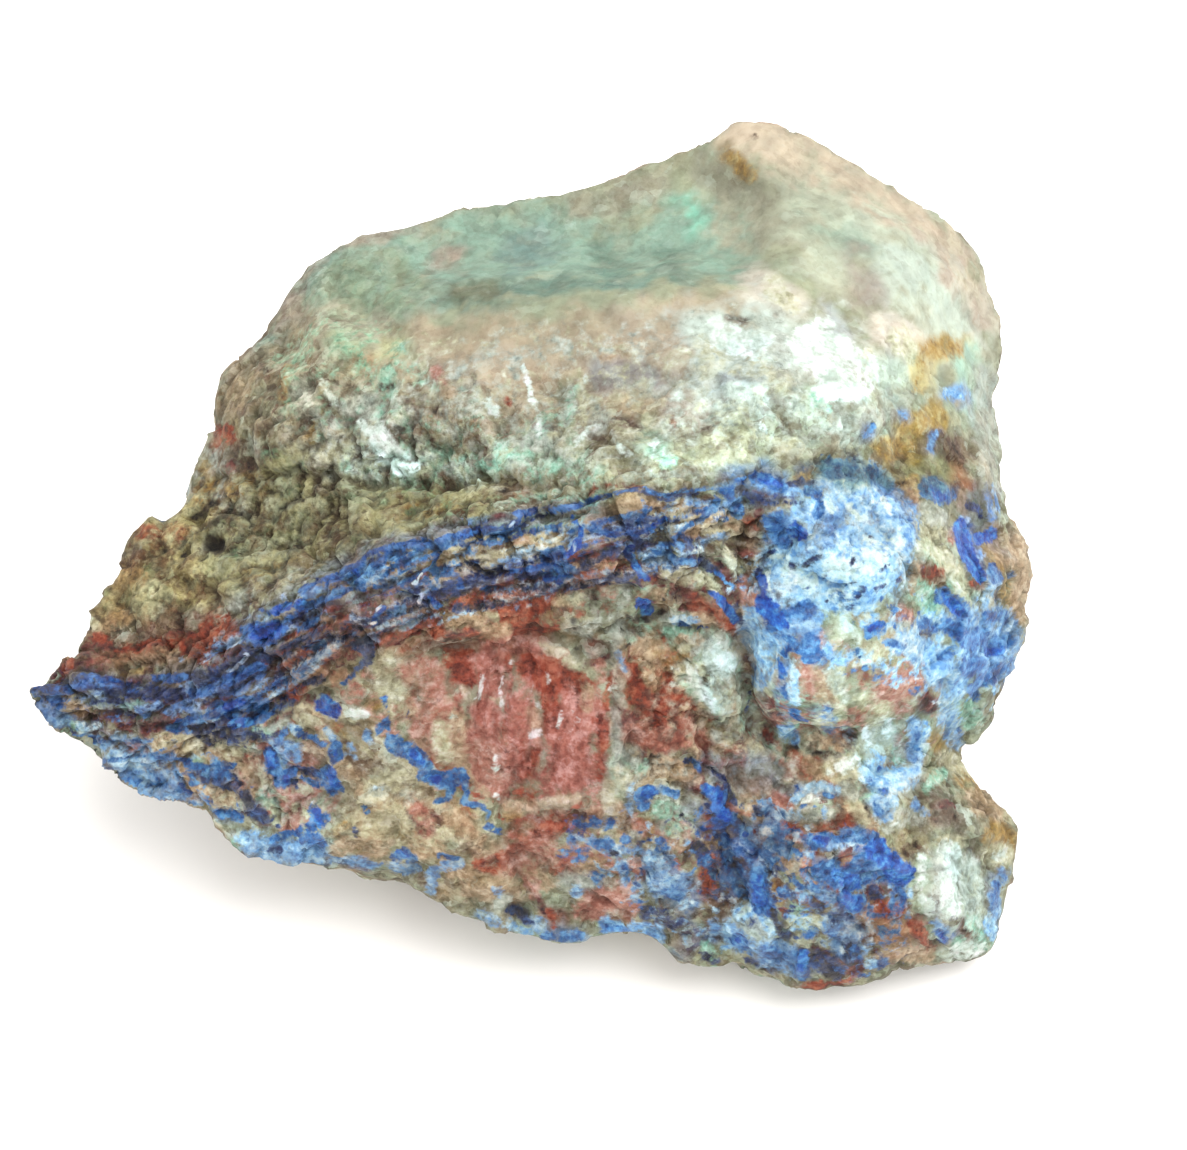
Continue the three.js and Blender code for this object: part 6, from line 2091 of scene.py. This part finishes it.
# The crumbs' sizes, and which of their noises breaks a mineral's edge and which makes its tones
FINE_CRUMBS, WIDE_CRUMBS = 0.7, 1.9
EDGES_AND_TONES = (("First", "Second"), ("Second", "Third"), ("Third", "First"))
FINE_TONE, WIDE_TONE = 0.65, 0.9  # how much of each goes into a mineral's tones
CHIP_LAYERS = ((2.2, 0.75), (1.0, 0.7))  # sizes of tinted chips, and how strong their tints are
CHIP_BEND = 0.22  # how far the crumbs bend the chips' outlines
DARK_GRAINS, DARK_STRENGTH = (0.6, 0.54, 0.46, 1), 0.8  # of the plain rock
LIGHT_GRAINS, LIGHT_STRENGTH = colour_of(240, 240, 230), 0.16
ROCK_ROUGHNESS, ROCK_SPECULAR = 0.75, 0.3
CRYSTALS, CRYSTAL_ROUGHNESS = ("navy", "azurite", "bright_azurite", "painted_glint"), 0.42
# From how raised to how raised a place is a pit or a crest, and the shares between which pits get painted
# shade and crests a painted highlight
PIT_SHADE_RANGE, PIT_SHADE = (-0.1, -1.0, 0.0, 0.5), (0.3, 0.26, 0.22, 1)
CREST_HIGHLIGHT_RANGE, CREST_HIGHLIGHT = (0.2, 1.0, 0.0, 0.07), colour_of(200, 196, 180)
# the fine grain's size, and how strong the painted shade in its low places is
GRAIN_SIZE, GRAIN_SHADE_STRENGTH = 0.55, 0.5
BUMP_DEPTH, BUMP_STRENGTH = 0.5 * MM, 0.6


def chipped_rock(tree, place, fine, wide, broken):
    """The plain rock's colour, with tinted chips and light and dark grains."""
    bend = node(tree, "ShaderNodeCombineXYZ", {0: wide["First"], 1: wide["Second"], 2: fine["Third"]})
    bend = scaled(tree, bend.outputs[0], CHIP_BEND)
    jagged = node(tree, "ShaderNodeVectorMath", {0: place, 1: bend}, operation="ADD").outputs[0]
    plain = attribute(tree, "ground", "Color")
    for size, strength in CHIP_LAYERS:
        share = times(tree, broken, strength, True)
        chips = {"Place": jagged, "Size": size, "Share": share, "Plain": plain}
        plain = fill_group(tree, CHIPS, chips)["Colour"]
    dark = blend(tree, times(tree, broken, DARK_STRENGTH, True), plain, DARK_GRAINS, "MULTIPLY")
    light = blend(tree, times(tree, broken, LIGHT_STRENGTH), plain, LIGHT_GRAINS)
    tones = {"Crumb": fine["First"], "Dark": dark, "Middle": plain, "Light": light}
    return fill_group(tree, TONES, tones)["Colour"]


def with_minerals(tree, colour, fine, wide):
    """The rock's colour and roughness with each mineral laid over it in turn."""
    roughness = ROCK_ROUGHNESS
    for number, (mineral, look) in enumerate(MINERAL_LOOKS.items()):
        dark, middle, light = (colour_of(*levels) for levels in look[:3])
        rag, softness, fullness = look[3:]
        edge, tone = EDGES_AND_TONES[number % 3]
        patch = {"Cover": attribute(tree, mineral), "Crumb": fine[edge], "Rag": rag,
                 "Softness": softness, "Fullness": fullness}
        mask = fill_group(tree, PATCH, patch)["Mask"]
        crumb = math_node(tree, "ADD", times(tree, wide[tone], WIDE_TONE), times(tree, fine[tone], FINE_TONE))
        tones = {"Crumb": crumb, "Dark": dark, "Middle": middle, "Light": light}
        colour = blend(tree, mask, colour, fill_group(tree, TONES, tones)["Colour"])
        if mineral in CRYSTALS:
            roughness = blend_value(tree, mask, roughness, CRYSTAL_ROUGHNESS)
    return colour, roughness


def rock_material(name):
    """The stone's broken rock with every mineral drawn or scattered on it, with painted shade in its pits and
    low grain and painted highlights on its crests.
    """
    material, surface = new_material(name)
    tree = material.node_tree
    place = scaled(tree, node(tree, "ShaderNodeTexCoord").outputs["Object"], 1 / MM)
    fine = fill_group(tree, CRUMBS, {"Place": place, "Size": FINE_CRUMBS})
    wide = fill_group(tree, CRUMBS, {"Place": place, "Size": WIDE_CRUMBS})
    broken, raised = attribute(tree, "broken"), attribute(tree, "raised")
    colour = chipped_rock(tree, place, fine, wide, broken)
    colour, roughness = with_minerals(tree, colour, fine, wide)
    # painted shade in the pits and a painted highlight on the crests of the relief, by how far each place
    # stands above its level
    pit_shade_share = times(tree, ranged(tree, raised, *PIT_SHADE_RANGE), broken, True)
    colour = blend(tree, pit_shade_share, colour, PIT_SHADE, "MULTIPLY")
    crest_highlight_share = times(tree, ranged(tree, raised, *CREST_HIGHLIGHT_RANGE), broken, True)
    colour = blend(tree, crest_highlight_share, colour, CREST_HIGHLIGHT, "SCREEN")
    # the washes: tints, with painted shade and painted light in places
    colour = blend(tree, 1.0, colour, attribute(tree, "tint_and_painted_light_wash", "Color"), "MULTIPLY")
    # painted shade in the low places of the fine grain, whose height also bumps the surface
    grain = fill_group(tree, GRAIN, {"Place": place, "Size": GRAIN_SIZE})
    low = times(tree, grain["Low"], times(tree, broken, GRAIN_SHADE_STRENGTH), True)
    colour = blend(tree, low, colour, PIT_SHADE, "MULTIPLY")
    height = times(tree, grain["Height"], broken)
    bumps = {"Height": height, "Distance": BUMP_DEPTH, "Strength": BUMP_STRENGTH}
    tree.links.new(colour, surface.inputs["Base Color"])
    tree.links.new(roughness, surface.inputs["Roughness"])
    tree.links.new(node(tree, "ShaderNodeBump", bumps).outputs[0], surface.inputs["Normal"])
    surface.inputs["Specular IOR Level"].default_value = ROCK_SPECULAR
    return material


# ---- The stone ----
def mesh_piece(name, points, triangles, material):
    mesh = bpy.data.meshes.new(name)
    mesh.from_pydata((points * MM).tolist(), [], triangles.tolist())
    mesh.materials.append(material)
    mesh.polygons.foreach_set("use_smooth", np.full(len(mesh.polygons), True))
    piece = bpy.data.objects.new(name, mesh)
    bpy.context.scene.collection.objects.link(piece)
    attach(piece, "root")
    return piece


def coat(piece, colours, covers):
    """Colours, and how broken the rock is and each mineral's cover, stored on a piece's points."""
    for name, colour in colours.items():
        layer = piece.data.attributes.new(name, "FLOAT_COLOR", "POINT")
        layer.data.foreach_set("color", np.column_stack([colour, np.ones(len(colour))]).ravel())
    for name, cover in covers.items():
        piece.data.attributes.new(name, "FLOAT", "POINT").data.foreach_set("value", cover)


stone = mesh_piece("stone_body", points, triangles, rock_material("broken vein rock"))
coat(stone, {"ground": ground, "tint_and_painted_light_wash": tint_and_painted_light_wash}, {"broken": broken, "raised": raised, **covers})
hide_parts(STONE)


# ---- Floor, light and camera, in metres ----
FLOOR_HALF = 3.0
FLOOR_COLOUR, FLOOR_ROUGHNESS = (0.94, 0.912, 0.885, 1), 0.9
SURROUND_COLOUR, SURROUND_STRENGTH = (1, 1, 1, 1), 1.3
SENSOR_WIDTH = 36  # mm
NEAREST_SEEN = 0.01


def pale_floor():
    corners = [(x * FLOOR_HALF, y * FLOOR_HALF, 0) for x, y in ((-1, -1), (1, -1), (1, 1), (-1, 1))]
    mesh = bpy.data.meshes.new("pale_floor")
    mesh.from_pydata(corners, [], [(0, 1, 2, 3)])
    material, surface = new_material("pale cloth")
    surface.inputs["Base Color"].default_value = FLOOR_COLOUR
    surface.inputs["Roughness"].default_value = FLOOR_ROUGHNESS
    mesh.materials.append(material)
    floor = bpy.data.objects.new("pale_floor", mesh)
    bpy.context.scene.collection.objects.link(floor)


def area_light(name, power, size, place, target):
    light = bpy.data.lights.new(name, "AREA")
    light.energy = power
    light.size = size
    lamp = bpy.data.objects.new(name, light)
    lamp.location = place
    lamp.rotation_euler = (Vector(target) - Vector(place)).to_track_quat("-Z", "Y").to_euler()
    bpy.context.scene.collection.objects.link(lamp)


def surroundings(name):
    world = bpy.data.worlds.new(name)
    world.use_nodes = True
    background = world.node_tree.nodes["Background"]
    background.inputs["Color"].default_value = SURROUND_COLOUR
    background.inputs["Strength"].default_value = SURROUND_STRENGTH
    bpy.context.scene.world = world


def camera():
    lens = bpy.data.cameras.new("camera")
    lens.sensor_width = SENSOR_WIDTH
    lens.lens = lens.sensor_width * EYE_DISTANCE / BOARD_WIDTH
    lens.clip_start = NEAREST_SEEN
    eye = bpy.data.objects.new("camera", lens)
    turn = Matrix([BOARD_RIGHT, BOARD_UP, TO_EYE]).transposed()
    eye.matrix_world = Matrix.Translation(EYE * MM) @ turn.to_4x4()
    bpy.context.scene.collection.objects.link(eye)
    bpy.context.scene.camera = eye


pale_floor()
area_light("window", power=9, size=0.8, place=(0.3, 0.12, 0.8), target=(0, 0, 0.02))
surroundings("studio")
bpy.context.scene.view_settings.view_transform = "Standard"
camera()
